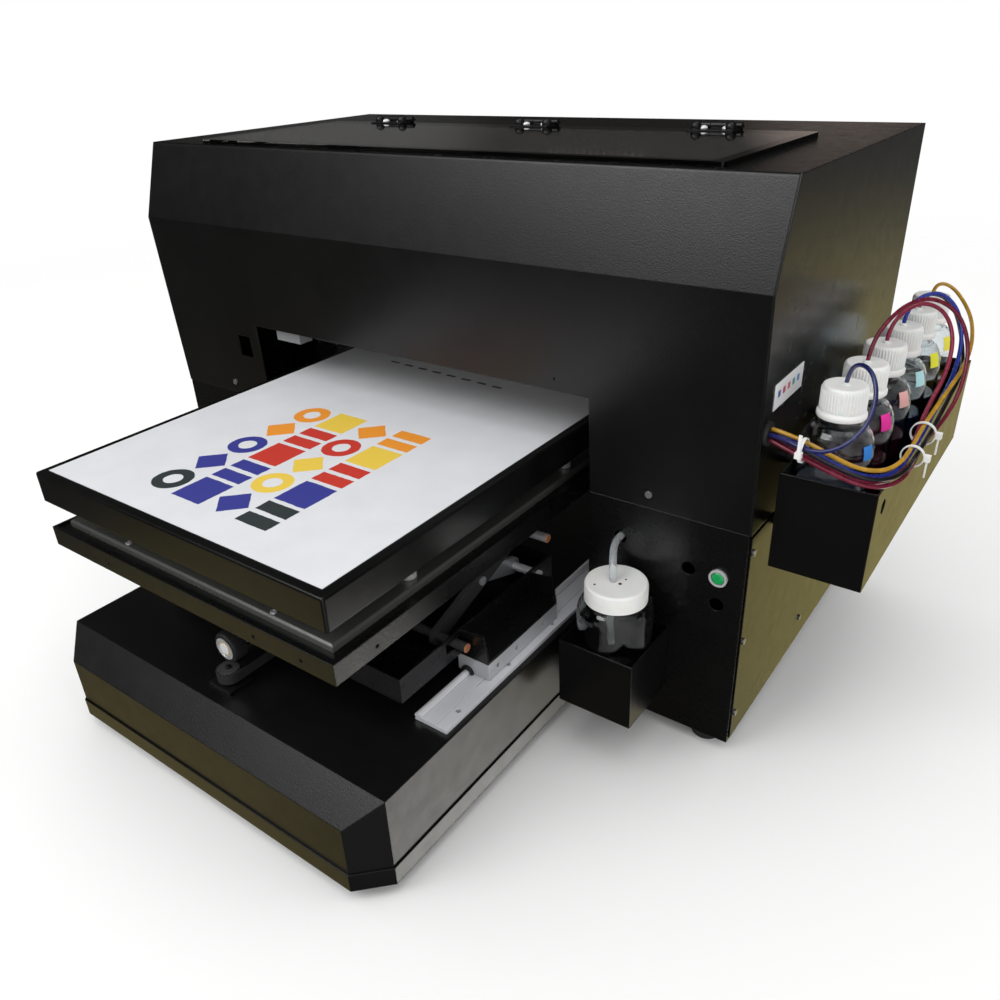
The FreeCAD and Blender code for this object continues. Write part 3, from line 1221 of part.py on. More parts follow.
def save(name, solids):
    left, right, front, back = extents()
    shift = V(-(left + right) / 2, -(front + back) / 2, 0)
    shape = Part.makeCompound(solids) if len(solids) > 1 else solids[0]
    shape.translate(shift)
    for solid in shape.Solids:
        if not solid.isValid():
            print("INVALID", name)
    print("%-20s solids %2d volume %10.0f" % (name, len(shape.Solids), shape.Volume))
    shape.exportStep("parts/%s.step" % name)


for maker in (base_pan, base_cover, feet_and_gland, tower_left_shell, tower_right_shell,
              hood_front, hood_top, hood_rear, side_panels,
              gantry_frame, table_rails, guide_shafts, drive_motors, idler_brackets,
              timing_belts, control_board, power_supply, rear_sockets, button_bezel,
              power_button, capping_station, height_sensor, table_chassis, guide_blocks,
              chassis_rod, lift_arms_inner, lift_arms_outer, lift_nut, lift_screw, lift_knob,
              platform_hangers, table_tray, locating_plate, levelling_posts, platen_frame,
              print_board, print_carriage, print_head, uv_lamp, window_lid, lid_hinge_base,
              lid_hinge_leaves, ink_tray, ink_bottles, bottle_caps, waste_bracket,
              waste_bottle, waste_tube, zip_ties, fasteners):
    save(maker.__name__, maker())
for end, y in (("front", BELT_FRONT), ("rear", BELT_BACK)):
    save("table_pulley_" + end, table_pulley(y))
for end, x in zip(("left", "right"), x_pulley_places()):
    save("carriage_pulley_" + end, carriage_pulley(x))
for tube in INK_TUBES:
    save(tube, ink_tube(tube))
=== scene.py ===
import bpy
import math
from mathutils import Matrix, Vector


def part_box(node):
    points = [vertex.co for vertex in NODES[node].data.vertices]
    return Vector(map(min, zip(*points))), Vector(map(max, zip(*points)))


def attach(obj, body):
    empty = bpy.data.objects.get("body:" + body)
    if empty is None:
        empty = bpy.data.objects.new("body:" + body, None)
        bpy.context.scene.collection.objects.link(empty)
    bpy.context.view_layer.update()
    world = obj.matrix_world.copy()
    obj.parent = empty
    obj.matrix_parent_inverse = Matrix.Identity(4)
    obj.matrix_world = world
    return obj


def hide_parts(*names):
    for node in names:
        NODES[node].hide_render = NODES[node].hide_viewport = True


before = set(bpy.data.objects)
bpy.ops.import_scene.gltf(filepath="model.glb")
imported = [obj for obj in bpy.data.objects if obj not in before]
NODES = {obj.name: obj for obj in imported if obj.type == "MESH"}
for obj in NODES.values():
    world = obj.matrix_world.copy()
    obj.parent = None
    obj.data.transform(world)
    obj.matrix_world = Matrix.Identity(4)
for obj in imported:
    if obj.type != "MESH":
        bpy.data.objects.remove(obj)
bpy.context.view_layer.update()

# The design frame, in mm: x from the hood's left side, y from the hood band's front edge and z from
# the floor.
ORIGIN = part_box("side_panels")[0]
SIDE_X = 760.0  # the hood's right side
MIDDLE_X = 380.0  # the table's centre line
WASTE_X, WASTE_Y = SIDE_X - 106, -29  # the waste bottle's axis
BUTTON_X, BUTTON_Z = SIDE_X - 25, 196.0
LABEL_Z = 366.0  # the height of the side label's squares


def P(x, y, z):
    """The frame's point, in metres, for a design point in mm."""
    return Vector((ORIGIN.x + x / 1000, ORIGIN.y + y / 1000, z / 1000))


# The ink bottles and their caps, in metres.
BOTTLE_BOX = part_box("ink_bottles")
BOTTLE_RADIUS = 0.029
BOTTLE_PITCH = 0.0585
BOTTLE_X = (BOTTLE_BOX[0].x + BOTTLE_BOX[1].x) / 2
FIRST_Y = BOTTLE_BOX[0].y + BOTTLE_RADIUS
CAP_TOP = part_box("bottle_caps")[1].z
CAP_LENGTH = 0.026


# ---------------------------------------------------------------- camera
# Solved from the hood's edges in the photograph.
CAMERA_PLACE = (961.742, -608.218, 623.606)
CAMERA_YAW, CAMERA_PITCH, CAMERA_ROLL = 36.963, 28.360, -2.539
LENS, SENSOR = 30.84, 36.0
CLIP_NEAR, CLIP_FAR = 0.02, 60.0


def make_camera():
    data = bpy.data.cameras.new("camera")
    data.lens = LENS
    data.sensor_width = SENSOR
    data.clip_start = CLIP_NEAR
    data.clip_end = CLIP_FAR
    cam = bpy.data.objects.new("camera", data)
    bpy.context.scene.collection.objects.link(cam)
    yaw, pitch, roll = (math.radians(a) for a in (CAMERA_YAW, CAMERA_PITCH, CAMERA_ROLL))
    look = Vector((-math.sin(yaw) * math.cos(pitch), math.cos(yaw) * math.cos(pitch),
                   -math.sin(pitch)))
    right = Vector((math.cos(yaw), math.sin(yaw), 0))
    up = right.cross(look)
    side = math.cos(roll) * right + math.sin(roll) * up
    top = -math.sin(roll) * right + math.cos(roll) * up
    rows = [[side[i], top[i], -look[i]] for i in range(3)]
    turn = Matrix(rows).to_4x4()
    cam.matrix_world = Matrix.Translation(P(*CAMERA_PLACE)) @ turn
    bpy.context.scene.camera = cam


make_camera()


# ---------------------------------------------------------------- material helpers
class Nodes:
    """One material: it starts with a shader and object coordinates, and adds and links nodes."""

    def __init__(self, name, shader="ShaderNodeBsdfPrincipled"):
        self.mat = bpy.data.materials.new(name)
        self.mat.use_nodes = True
        self.tree = self.mat.node_tree
        self.tree.nodes.clear()
        self.out = self.add("ShaderNodeOutputMaterial")
        self.shader = self.add(shader)
        self.link(self.shader.outputs[0], self.out.inputs[0])
        self.coords = self.add("ShaderNodeTexCoord").outputs["Object"]

    def add(self, kind, **values):
        node = self.tree.nodes.new(kind)
        for key, value in values.items():
            setattr(node, key, value)
        return node

    def link(self, a, b):
        self.tree.links.new(a, b)

    def noise(self, scale, detail, rough, stretch=None):
        node = self.add("ShaderNodeTexNoise")
        node.inputs["Scale"].default_value = scale
        node.inputs["Detail"].default_value = detail
        node.inputs["Roughness"].default_value = rough
        source = self.coords
        if stretch:
            mapping = self.add("ShaderNodeMapping")
            mapping.inputs["Scale"].default_value = stretch
            self.link(self.coords, mapping.inputs["Vector"])
            source = mapping.outputs[0]
        self.link(source, node.inputs["Vector"])
        return node.outputs["Fac"]

    def shades(self, noise, low, high):
        """A colour that goes from low to high with a noise, which stays mostly near its middle."""
        node = self.add("ShaderNodeValToRGB")
        for element, place, color in zip(node.color_ramp.elements, (0.3, 0.7), (low, high)):
            element.position = place
            element.color = (*color, 1)
        self.link(noise, node.inputs["Fac"])
        return node.outputs["Color"]

    def math(self, operation, a, b=None, clamp=False):
        node = self.add("ShaderNodeMath", operation=operation, use_clamp=clamp)
        for slot, value in zip(node.inputs, (a, b)):
            if value is None:
                continue
            if isinstance(value, (int, float)):
                slot.default_value = value
            else:
                self.link(value, slot)
        return node.outputs[0]

    def vector(self, operation, a, b):
        """A vector operation on a socket and either a second socket or a plain vector."""
        node = self.add("ShaderNodeVectorMath", operation=operation)
        self.link(a, node.inputs[0])
        if isinstance(b, bpy.types.NodeSocket):
            self.link(b, node.inputs[1])
        else:
            node.inputs[1].default_value = b
        return node.outputs

    def fade(self, value, start, end):
        """0 below start and 1 above end, with a smooth step between them."""
        node = self.add("ShaderNodeMapRange", interpolation_type="SMOOTHSTEP")
        node.inputs["From Min"].default_value = start
        node.inputs["From Max"].default_value = end
        self.link(value, node.inputs["Value"])
        return node.outputs[0]

    def mix(self, mask, color, tint):
        """The colour, with a plain tint laid over it where the mask is 1."""
        node = self.add("ShaderNodeMix", data_type="RGBA")
        factor, base, top = node.inputs[0], node.inputs[6], node.inputs[7]
        self.link(mask, factor)
        self.link(color, base)
        top.default_value = (*tint, 1)
        return node.outputs[2]

    def set(self, **values):
        for key, value in values.items():
            self.shader.inputs[key.replace("_", " ")].default_value = value

    def color(self, value):
        self.link(value, self.shader.inputs["Base Color"])

    def roughness(self, fac, low, high):
        node = self.add("ShaderNodeMapRange")
        node.inputs["To Min"].default_value = low
        node.inputs["To Max"].default_value = high
        self.link(fac, node.inputs["Value"])
        self.link(node.outputs[0], self.shader.inputs["Roughness"])

    def bump(self, height, strength, distance, edge=0.0):
        node = self.add("ShaderNodeBump")
        node.inputs["Strength"].default_value = strength
        node.inputs["Distance"].default_value = distance
        self.link(height, node.inputs["Height"])
        if edge:
            bevel = self.add("ShaderNodeBevel", samples=4)
            bevel.inputs["Radius"].default_value = edge
            self.link(bevel.outputs[0], node.inputs["Normal"])
        self.link(node.outputs[0], self.shader.inputs["Normal"])


SHEET_EDGE = 0.0014  # how far the shading rounds a folded sheet's edge, in metres


def powder_coat(name, tone, rough, grain, strength):
    """Black textured paint: a fine orange-peel bump and slight changes of tone."""
    n = Nodes(name)
    cloud = n.noise(9.0, 4.0, 0.6)
    dark = (tone * 0.75, tone * 0.74, tone * 0.74)
    light = (tone * 1.35, tone * 1.33, tone * 1.32)
    n.color(n.shades(cloud, dark, light))
    peel = n.noise(grain, 2.0, 0.55)
    n.roughness(n.noise(60.0, 3.0, 0.6), rough - 0.05, rough + 0.08)
    n.bump(peel, strength, 0.0003, SHEET_EDGE)
    return n.mat


def metal(name, color, rough, stretch=(1, 1, 1), scale=400.0, edge=0.0006, metallic=0.6):
    """Bare or plated metal. The stretch turns the noise into brushed lines along one axis."""
    n = Nodes(name)
    lines = n.noise(scale, 3.0, 0.6, stretch)
    low = tuple(c * 0.86 for c in color)
    high = tuple(min(1, c * 1.08) for c in color)
    n.color(n.shades(lines, low, high))
    n.set(Metallic=metallic)
    n.roughness(lines, rough - 0.06, rough + 0.1)
    n.bump(lines, 0.12, 0.0002, edge)
    return n.mat


def plastic(name, color, rough, grain=500.0, strength=0.08, spread=0.12, subsurface=0.0):
    """Moulded plastic or rubber. The spread is how much the colour varies."""
    n = Nodes(name)
    speck = n.noise(grain, 2.0, 0.5)
    cloud = n.noise(35.0, 3.0, 0.6)
    low = tuple(c * (1 - spread) for c in color)
    high = tuple(min(1, c * (1 + spread * 0.4)) for c in color)
    n.color(n.shades(cloud, low, high))
    n.roughness(cloud, rough - 0.05, rough + 0.08)
    n.bump(speck, strength, 0.0002)
    if subsurface:
        n.set(Subsurface_Weight=subsurface, Subsurface_Scale=0.002)
    return n.mat


def clear_plastic(name, color, rough, weight):
    """Blown bottle plastic or tube: mostly clear, with uneven wall and slight scuffs."""
    n = Nodes(name)
    wave = n.noise(45.0, 2.0, 0.5)
    n.color(n.shades(wave, tuple(c * 0.93 for c in color), color))
    n.set(Transmission_Weight=weight, IOR=1.45)
    n.roughness(n.noise(260.0, 3.0, 0.6), rough, rough + 0.05)
    n.bump(wave, 0.3, 0.0006)
    return n.mat


# ---------------------------------------------------------------- mesh helpers
SHARP_ANGLE = 38  # degrees between faces, above which an edge is shaded sharp


def piece(name, verts, faces, mat, body, smooth=True, replaces=()):
    """One new mesh that rides on a body, in place of the CAD nodes it replaces."""
    mesh = bpy.data.meshes.new(name)
    mesh.from_pydata([tuple(v) for v in verts], [], faces)
    mesh.validate()
    mesh.update()
    if smooth:
        mesh.shade_smooth()
        mesh.set_sharp_from_angle(angle=math.radians(SHARP_ANGLE))
    obj = bpy.data.objects.new(name, mesh)
    bpy.context.scene.collection.objects.link(obj)
    mesh.materials.append(mat)
    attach(obj, body)
    if replaces:
        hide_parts(*replaces)


def axes(direction):
    """A direction made a unit vector, and two unit vectors across it."""
    d = Vector(direction).normalized()
    helper = Vector((0, 0, 1)) if abs(d.z) < 0.9 else Vector((1, 0, 0))
    u = d.cross(helper).normalized()
    return d, u, d.cross(u).normalized()


UP, FORWARD = (0, 0, 1), (0, -1, 0)


def lathe(profile, base, count, direction=UP, ribs=None):
    """Verts and faces of (radius, height) points in mm, turned about a line through base (in metres).

    ribs = (how many, depth in mm, low, high) makes grip ribs between two heights.
    """
    d, u, v = axes(direction)
    verts, faces = [], []
    rows = len(profile)
    for r, h in profile:
        for i in range(count):
            angle = 2 * math.pi * i / count
            out = u * math.cos(angle) + v * math.sin(angle)
            radius = r
            if ribs and ribs[2] <= h <= ribs[3]:
                radius += ribs[1] * (0.5 + 0.5 * math.cos(angle * ribs[0]))
            verts.append(base + out * radius / 1000 + d * h / 1000)
    for j in range(rows - 1):
        for i in range(count):
            k = (i + 1) % count
            faces.append((j * count + i, j * count + k, (j + 1) * count + k, (j + 1) * count + i))
    faces.append(tuple(range(count))[::-1])
    faces.append(tuple((rows - 1) * count + i for i in range(count)))
    return verts, faces


def chamfered_slab(x0, x1, y0, y1, z0, z1, c):
    """A box with every edge cut back by c, in mm."""
    verts, faces = [], []
    rings = [(z0, c), (z0 + c, 0), (z1 - c, 0), (z1, c)]
    for z, inset in rings:
        a0, a1, b0, b1 = x0 + inset, x1 - inset, y0 + inset, y1 - inset
        for x, y in ((a0 + c, b0), (a1 - c, b0), (a1, b0 + c), (a1, b1 - c),
                     (a1 - c, b1), (a0 + c, b1), (a0, b1 - c), (a0, b0 + c)):
            verts.append(P(x, y, z))
    for j in range(3):
        for i in range(8):
            k = (i + 1) % 8
            faces.append((8 * j + i, 8 * j + k, 8 * j + 8 + k, 8 * j + 8 + i))
    faces.append(tuple(range(8))[::-1])
    faces.append(tuple(range(24, 32)))
    return verts, faces


# ---------------------------------------------------------------- cords
def tube_material(name, color):
    """Glossy tube with a little of the ink's colour coming and going along it."""
    n = Nodes(name)
    streak = n.noise(90.0, 2.0, 0.5)
    n.color(n.shades(streak, tuple(c * 0.7 for c in color), color))
    n.set(Coat_Weight=0.4, Coat_Roughness=0.1)
    n.roughness(streak, 0.22, 0.32)
    return n.mat


def cord(name, points, diameter, mat):
    """A round tube along points, in metres, in place of the CAD node of the same name."""
    curve = bpy.data.curves.new(name + "_line", "CURVE")
    curve.dimensions = "3D"
    curve.resolution_u = 12
    curve.bevel_depth = diameter / 2
    curve.bevel_resolution = 5
    curve.use_fill_caps = True
    spline = curve.splines.new("NURBS")
    spline.points.add(len(points) - 1)
    for point, place in zip(spline.points, points):
        point.co = (*place, 1)
    spline.order_u = 3
    spline.use_endpoint_u = True
    obj = bpy.data.objects.new(name + "_cord", curve)
    bpy.context.scene.collection.objects.link(obj)
    curve.materials.append(mat)
    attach(obj, "body")
    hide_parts(name)


INK_TUBE = 0.0035  # diameters in metres
WASTE_TUBE = 0.007
# Each ink tube's length in metres, its colour, and its route after the cap: mm from the hood's side.
TUBES = {
    "dark_blue": (0.168, (0.012, 0.015, 0.10), [
        (47, 50, 390), (57, 41, 399), (69, 30, 396), (76, 20, 382), (75, 10, 364), (65, 2, 349),
        (50, -1, 340), (33, 1.5, 338.5), (17, 7, 341), (3.7, 12.6, 339.4)]),
    "dark_red": (0.458, (0.17, 0.008, 0.03), [
        (46, 113, 391), (50, 130, 405), (58, 161, 415), (74, 190, 415), (94, 206, 398), (107, 200, 371),
        (110, 178, 342), (107, 145, 327), (100.5, 108, 318.5), (101, 72, 314), (101, 42, 313),
        (93, 18, 314), (78, 6, 317), (55, 4, 323), (33, 5, 330), (14.5, 12, 332), (3.7, 14.3, 334.3)]),
    "red": (0.378, (0.26, 0.01, 0.045), [
        (46, 171, 390), (52, 184, 402), (65, 198, 408), (82, 203, 400), (94, 194, 381), (97, 172, 357),
        (92.5, 140, 336), (93, 107, 320), (96, 74, 315), (96, 44, 314), (89, 22, 315), (75, 10, 318),
        (55, 9, 324), (33, 10, 331), (14, 16.5, 333), (3.7, 19.7, 334.3)]),
    "blue": (0.414, (0.01, 0.03, 0.33), [
        (46, 230, 390), (53, 242, 401), (68, 252, 404), (85, 252, 390), (95, 238, 367), (99, 205, 349),
        (99, 160, 338), (98, 112, 326), (97, 74, 320), (96, 44, 319), (89, 22, 320), (75, 10, 323),
        (55, 9, 329), (33, 10, 336), (14, 17.5, 337.5), (3.7, 21.4, 339.4)]),
    "black": (0.433, (0.008, 0.008, 0.012), [
        (47, 289, 387), (54, 295, 391), (66, 298, 387), (79, 290, 375), (90, 268, 360), (99, 238, 350),
        (104, 205, 344.5), (104, 165, 339), (103, 110, 325), (101.5, 74, 320), (101, 42, 319),
        (93, 18, 320), (78, 6, 323), (55, 4, 329), (33, 5, 336), (14.5, 12, 337), (3.7, 17, 338)]),
    "yellow": (0.461, (0.50, 0.27, 0.015), [
        (46, 345, 385), (53, 347, 389), (64, 345, 385), (76, 336, 376), (88, 314, 368), (97, 280, 362),
        (103, 240, 357), (104.5, 200, 351.5), (101.5, 158, 344), (97, 110, 331.5), (97, 74, 325),
        (96, 44, 324), (89, 22, 325), (75, 10, 328), (55, 9, 334), (33, 10, 341), (14, 15.5, 342),
        (3.7, 17, 342.6)]),
}
WASTE_ROUTE = [(-124, 24, 207), (-124, 8, 208), (-121, -8, 207), (-114, -22, 202), (-109, -30, 190),
               (-108, -31, 172), (-110, -30, 152), (-113, -27, 130), (-112, -24, 110)]


def make_cords():
    for i, (name, (length, color, route)) in enumerate(TUBES.items()):
        start = Vector((BOTTLE_X, FIRST_Y + BOTTLE_PITCH * i, CAP_TOP + 0.0003))
        points = [start] + [P(SIDE_X + x, y, z) for x, y, z in route]
        cord("ink_tube_" + name, points, INK_TUBE, tube_material("tube_" + name, color))
    points = [P(SIDE_X + x, y, z) for x, y, z in WASTE_ROUTE]
    mat = clear_plastic("clear_tube", (0.86, 0.90, 0.92), 0.12, 0.75)
    cord("waste_tube", points, WASTE_TUBE, mat)


make_cords()


# ---------------------------------------------------------------- CAD node materials
def paint(names, mat):
    """Give CAD nodes one material each."""
    for name in names:
        obj = NODES[name]
        obj.data.materials.clear()
        obj.data.materials.append(mat)


# The CAD nodes that new pieces or cords replace need no material.
paint(["hood_front", "base_cover", "hood_rear"], powder_coat("black_front", 0.0042, 0.30, 880.0, 0.42))
paint(["tower_left_shell", "tower_right_shell"], powder_coat("black_tower", 0.0035, 0.26, 500.0, 0.07))
paint(["hood_top", "side_panels"], powder_coat("black_sides", 0.0035, 0.24, 420.0, 0.05))
paint(["base_pan", "ink_tray", "waste_bracket"], powder_coat("black_small", 0.0035, 0.22, 420.0, 0.08))
paint(["platen_frame"], powder_coat("black_platen", 0.004, 0.20, 420.0, 0.07))
paint(["table_tray", "table_chassis"], powder_coat("black_table", 0.0045, 0.27, 620.0, 0.45))
paint(["print_carriage", "idler_brackets", "lid_hinge_base", "lid_hinge_leaves"],
      powder_coat("black_inside", 0.006, 0.35, 500.0, 0.2))
paint(["feet_and_gland", "timing_belts"], plastic("rubber", (0.02, 0.02, 0.02), 0.65, 700.0, 0.3))
paint(["gantry_frame", "platform_hangers", "lift_arms_inner"],
      metal("aluminium", (0.50, 0.51, 0.53), 0.34, (1, 60, 60)))
paint(["guide_blocks"], metal("block", (0.50, 0.51, 0.53), 0.36, (60, 1, 60), metallic=0.35))
paint(["lift_arms_outer"], metal("dark_arm", (0.085, 0.085, 0.09), 0.40, (60, 1, 60)))
paint(["table_rails"], metal("rail", (0.80, 0.81, 0.85), 0.34, (90, 1, 90), 200.0, metallic=0.25))
paint(["guide_shafts", "chassis_rod", "lift_screw"],
      metal("ground_steel", (0.90, 0.90, 0.93), 0.16, (90, 1, 90), metallic=0.35))
paint(["levelling_posts", "button_bezel"], metal("steel", (0.74, 0.74, 0.75), 0.22, metallic=0.5))
paint(["fasteners"], metal("screws", (0.40, 0.40, 0.41), 0.25, metallic=0.8))
paint(["locating_plate"], metal("dark_plate", (0.17, 0.175, 0.16), 0.22, (1, 40, 1), 300.0, 0.0015))
paint(["lift_nut"], metal("brass", (0.60, 0.42, 0.16), 0.3))
paint(["table_pulley_front", "table_pulley_rear", "carriage_pulley_left", "carriage_pulley_right"],
      metal("pulley", (0.12, 0.12, 0.125), 0.34))
paint(["drive_motors", "power_supply"], metal("motor", (0.10, 0.10, 0.11), 0.4))
paint(["rear_sockets", "capping_station"], plastic("black_plastic", (0.02, 0.02, 0.022), 0.45))
paint(["control_board"], plastic("board", (0.02, 0.16, 0.07), 0.4, 200.0, 0.3))
paint(["height_sensor"], plastic("pale_plastic", (0.20, 0.205, 0.21), 0.4))
paint(["print_head", "uv_lamp"], metal("head", (0.24, 0.24, 0.26), 0.35))
paint(["zip_ties"], plastic("white_ties", (0.80, 0.80, 0.79), 0.35, subsurface=0.1))
paint(["ink_bottles"], clear_plastic("bottle", (0.90, 0.93, 0.94), 0.03, 1.0))
paint(["waste_bottle"], clear_plastic("waste_clear", (0.95, 0.97, 0.96), 0.02, 1.0))


def lid_material():
    """Smoked acrylic with faint smears."""
    n = Nodes("tinted_lid")
    smear = n.noise(14.0, 4.0, 0.65)
    n.color(n.shades(smear, (0.115, 0.11, 0.105), (0.14, 0.135, 0.13)))
    n.set(Transmission_Weight=1.0, IOR=1.49)
    n.roughness(smear, 0.01, 0.03)
    n.bump(n.noise(5.0, 2.0, 0.5), 0.05, 0.001)
    return n.mat


paint(["window_lid"], lid_material())


# ---------------------------------------------------------------- printed sheet
# All in mm. The half sizes are from a shape's middle to its edge.
TILE_STEP, TILE_HALF = 42.0, 19.0
HOLE_RADIUS, DIAMOND_HALF = 9, 13.5
STRIPE_OFF, STRIPE_HALF = 10.5, 8
ORANGE, RED, YELLOW = (0.80, 0.29, 0.03), (0.55, 0.04, 0.025), (0.78, 0.55, 0.07)
BLUE, DARK_INK, PAPER = (0.04, 0.045, 0.27), (0.035, 0.045, 0.045), (0.69, 0.70, 0.72)
TILES = [[ORANGE, YELLOW, ORANGE, ORANGE], [ORANGE, RED, RED, YELLOW], [BLUE, RED, YELLOW, RED],
         [BLUE, BLUE, YELLOW, BLUE], [DARK_INK, BLUE, BLUE, DARK_INK]]
FIRST_ROW_Y = -66
BAR_COUNT, BAR_STEP = 8, 22  # the row of small bars at the back of the sheet
BAR_X, BAR_Y = 282, 101
BAR_HALF_X, BAR_HALF_Y = 6.5, 2.2
BAR_TINT = (0.04, 0.04, 0.045)


def sheet_material():
    """White coated board with a test print: rings, squares, diamonds and stripes in flat colours."""
    n = Nodes("printed_sheet")
    separate = n.add("ShaderNodeSeparateXYZ")
    n.link(n.coords, separate.inputs[0])
    x = n.math("MULTIPLY", n.math("SUBTRACT", separate.outputs[0], ORIGIN.x), 1000.0)
    y = n.math("MULTIPLY", n.math("SUBTRACT", separate.outputs[1], ORIGIN.y), 1000.0)
    wobble = n.noise(120.0, 2.0, 0.6)
    rag = n.math("MULTIPLY", n.math("SUBTRACT", wobble, 0.5), 1.6)

    def turned(cx, cy, degrees):
        c, s = math.cos(math.radians(degrees)), math.sin(math.radians(degrees))
        dx, dy = n.math("SUBTRACT", x, cx), n.math("SUBTRACT", y, cy)
        u = n.math("ADD", n.math("MULTIPLY", dx, c), n.math("MULTIPLY", dy, s))
        v = n.math("SUBTRACT", n.math("MULTIPLY", dy, c), n.math("MULTIPLY", dx, s))
        return u, v

    def inside(distance):
        """1 inside the shape and 0 outside, with a slightly ragged ink edge."""
        return n.math("MULTIPLY", n.math("SUBTRACT", rag, distance), 2.5, clamp=True)

    def disc(cx, cy, radius):
        dx, dy = n.math("SUBTRACT", x, cx), n.math("SUBTRACT", y, cy)
        r = n.math("SQRT", n.math("ADD", n.math("MULTIPLY", dx, dx), n.math("MULTIPLY", dy, dy)))
        return inside(n.math("SUBTRACT", r, radius))

    def block(cx, cy, a, b, degrees=0):
        u, v = turned(cx, cy, degrees)
        du = n.math("SUBTRACT", n.math("ABSOLUTE", u), a)
        dv = n.math("SUBTRACT", n.math("ABSOLUTE", v), b)
        return inside(n.math("MAXIMUM", du, dv))

    color = n.shades(n.noise(30.0, 3.0, 0.5), (0.66, 0.67, 0.695), (0.70, 0.71, 0.73))
    shapes = []
    for j, row in enumerate(TILES):
        for i, tint in enumerate(row):
            cx, cy = MIDDLE_X + TILE_STEP * (i - 1.5), FIRST_ROW_Y - TILE_STEP * j
            kind = (i + 2 * j) % 4
            if kind == 0:  # ring
                shapes.append((disc(cx, cy, TILE_HALF), tint))
                shapes.append((disc(cx, cy, HOLE_RADIUS), PAPER))
            elif kind == 1:  # square
                shapes.append((block(cx, cy, TILE_HALF, TILE_HALF), tint))
            elif kind == 2:  # diamond
                shapes.append((block(cx, cy, DIAMOND_HALF, DIAMOND_HALF, 45), tint))
            else:  # two stripes
                shapes.append((block(cx, cy - STRIPE_OFF, TILE_HALF, STRIPE_HALF), tint))
                shapes.append((block(cx, cy + STRIPE_OFF, TILE_HALF, STRIPE_HALF), tint))
    for i in range(BAR_COUNT):
        bar = block(BAR_X + BAR_STEP * i, BAR_Y - i, BAR_HALF_X, BAR_HALF_Y)
        shapes.append((bar, BAR_TINT))
    for mask, tint in shapes:
        color = n.mix(mask, color, tint)
    n.color(color)
    n.roughness(wobble, 0.32, 0.42)
    n.bump(n.noise(1400.0, 2.0, 0.5), 0.06, 0.0001)
    return n.mat


paint(["print_board"], sheet_material())


# ---------------------------------------------------------------- bottles, caps, inks and stickers
WHITE = plastic("white_cap", (0.82, 0.82, 0.80), 0.34, 400.0, 0.06, 0.05, 0.15)
INKS = [(0.01, 0.02, 0.05), (0.10, 0.01, 0.02), (0.14, 0.01, 0.04), (0.01, 0.03, 0.12),
        (0.01, 0.01, 0.01), (0.22, 0.13, 0.01)]
STICKERS = [(0.03, 0.25, 0.75), (0.85, 0.02, 0.35), (0.85, 0.45, 0.42), (0.45, 0.75, 0.80),
            (0.80, 0.78, 0.02), (0.80, 0.72, 0.05)]
CAP_RIB_DEPTH = 0.8
WASTE_BASE, WASTE_CAP_BASE = 57.5, 167.0  # heights of the waste bottle's floor and its cap's lower edge


def bottle_base(i):
    """The middle of a bottle's underside, counted from the front."""
    return Vector((BOTTLE_X, FIRST_Y + BOTTLE_PITCH * i, BOTTLE_BOX[0].z))


def cap_profile(inner, outer, flare, height, skirt):
    """From the bore up: flared ring, ribbed side and rounded top. The ribs stand out from the side."""
    side = outer - CAP_RIB_DEPTH
    rows = [(inner, height - 3.0), (inner, 0.6), (outer + flare - 0.5, 0.0), (outer + flare, 0.7),
            (outer + flare, skirt - 1.0), (outer + flare - 0.7, skirt), (side, skirt + 1.0)]
    rows += [(side, skirt + 2.0 + (height - skirt - 5.0) * t / 6) for t in range(7)]
    rows += [(side, height - 1.9), (side - 0.3, height - 0.8), (side - 1.1, height - 0.2),
             (side - 2.2, height), (side - 4.0, height - 0.3), (3.0, height - 0.3)]
    return rows


def make_caps():
    profile = cap_profile(inner=16.2, outer=17.9, flare=1.3, height=CAP_LENGTH * 1000, skirt=4.6)
    grommet = [(2.2, 2.2), (3.1, 1.6), (3.4, 0.0), (2.1, 0.0)]
    for i in range(len(INKS)):
        base = bottle_base(i)
        base.z = CAP_TOP - CAP_LENGTH
        verts, faces = lathe(profile, base, 264, ribs=(44, CAP_RIB_DEPTH, 6.6, 23.6))
        piece("cap_%d" % (i + 1), verts, faces, WHITE, "body",
              replaces=("bottle_caps",) if i == 0 else ())
        base.z = CAP_TOP - 0.0006
        verts, faces = lathe(grommet, base, 28)
        piece("cap_grommet_%d" % (i + 1), verts, faces, WHITE, "body")
    rows = [(26.4, 15.0), (26.4, 0.4), (28.6, 0.0), (29.3, 0.5), (29.1, 1.4), (29.0, 5.0),
            (29.0, 10.0), (29.0, 15.0), (28.9, 16.6), (28.4, 17.5), (27.6, 17.95), (26.6, 18.0),
            (24.0, 17.8), (4.5, 17.8)]
    verts, faces = lathe(rows, P(WASTE_X, WASTE_Y, WASTE_CAP_BASE), 288, ribs=(96, 0.35, 2.0, 15.0))
    piece("waste_cap", verts, faces, WHITE, "body")


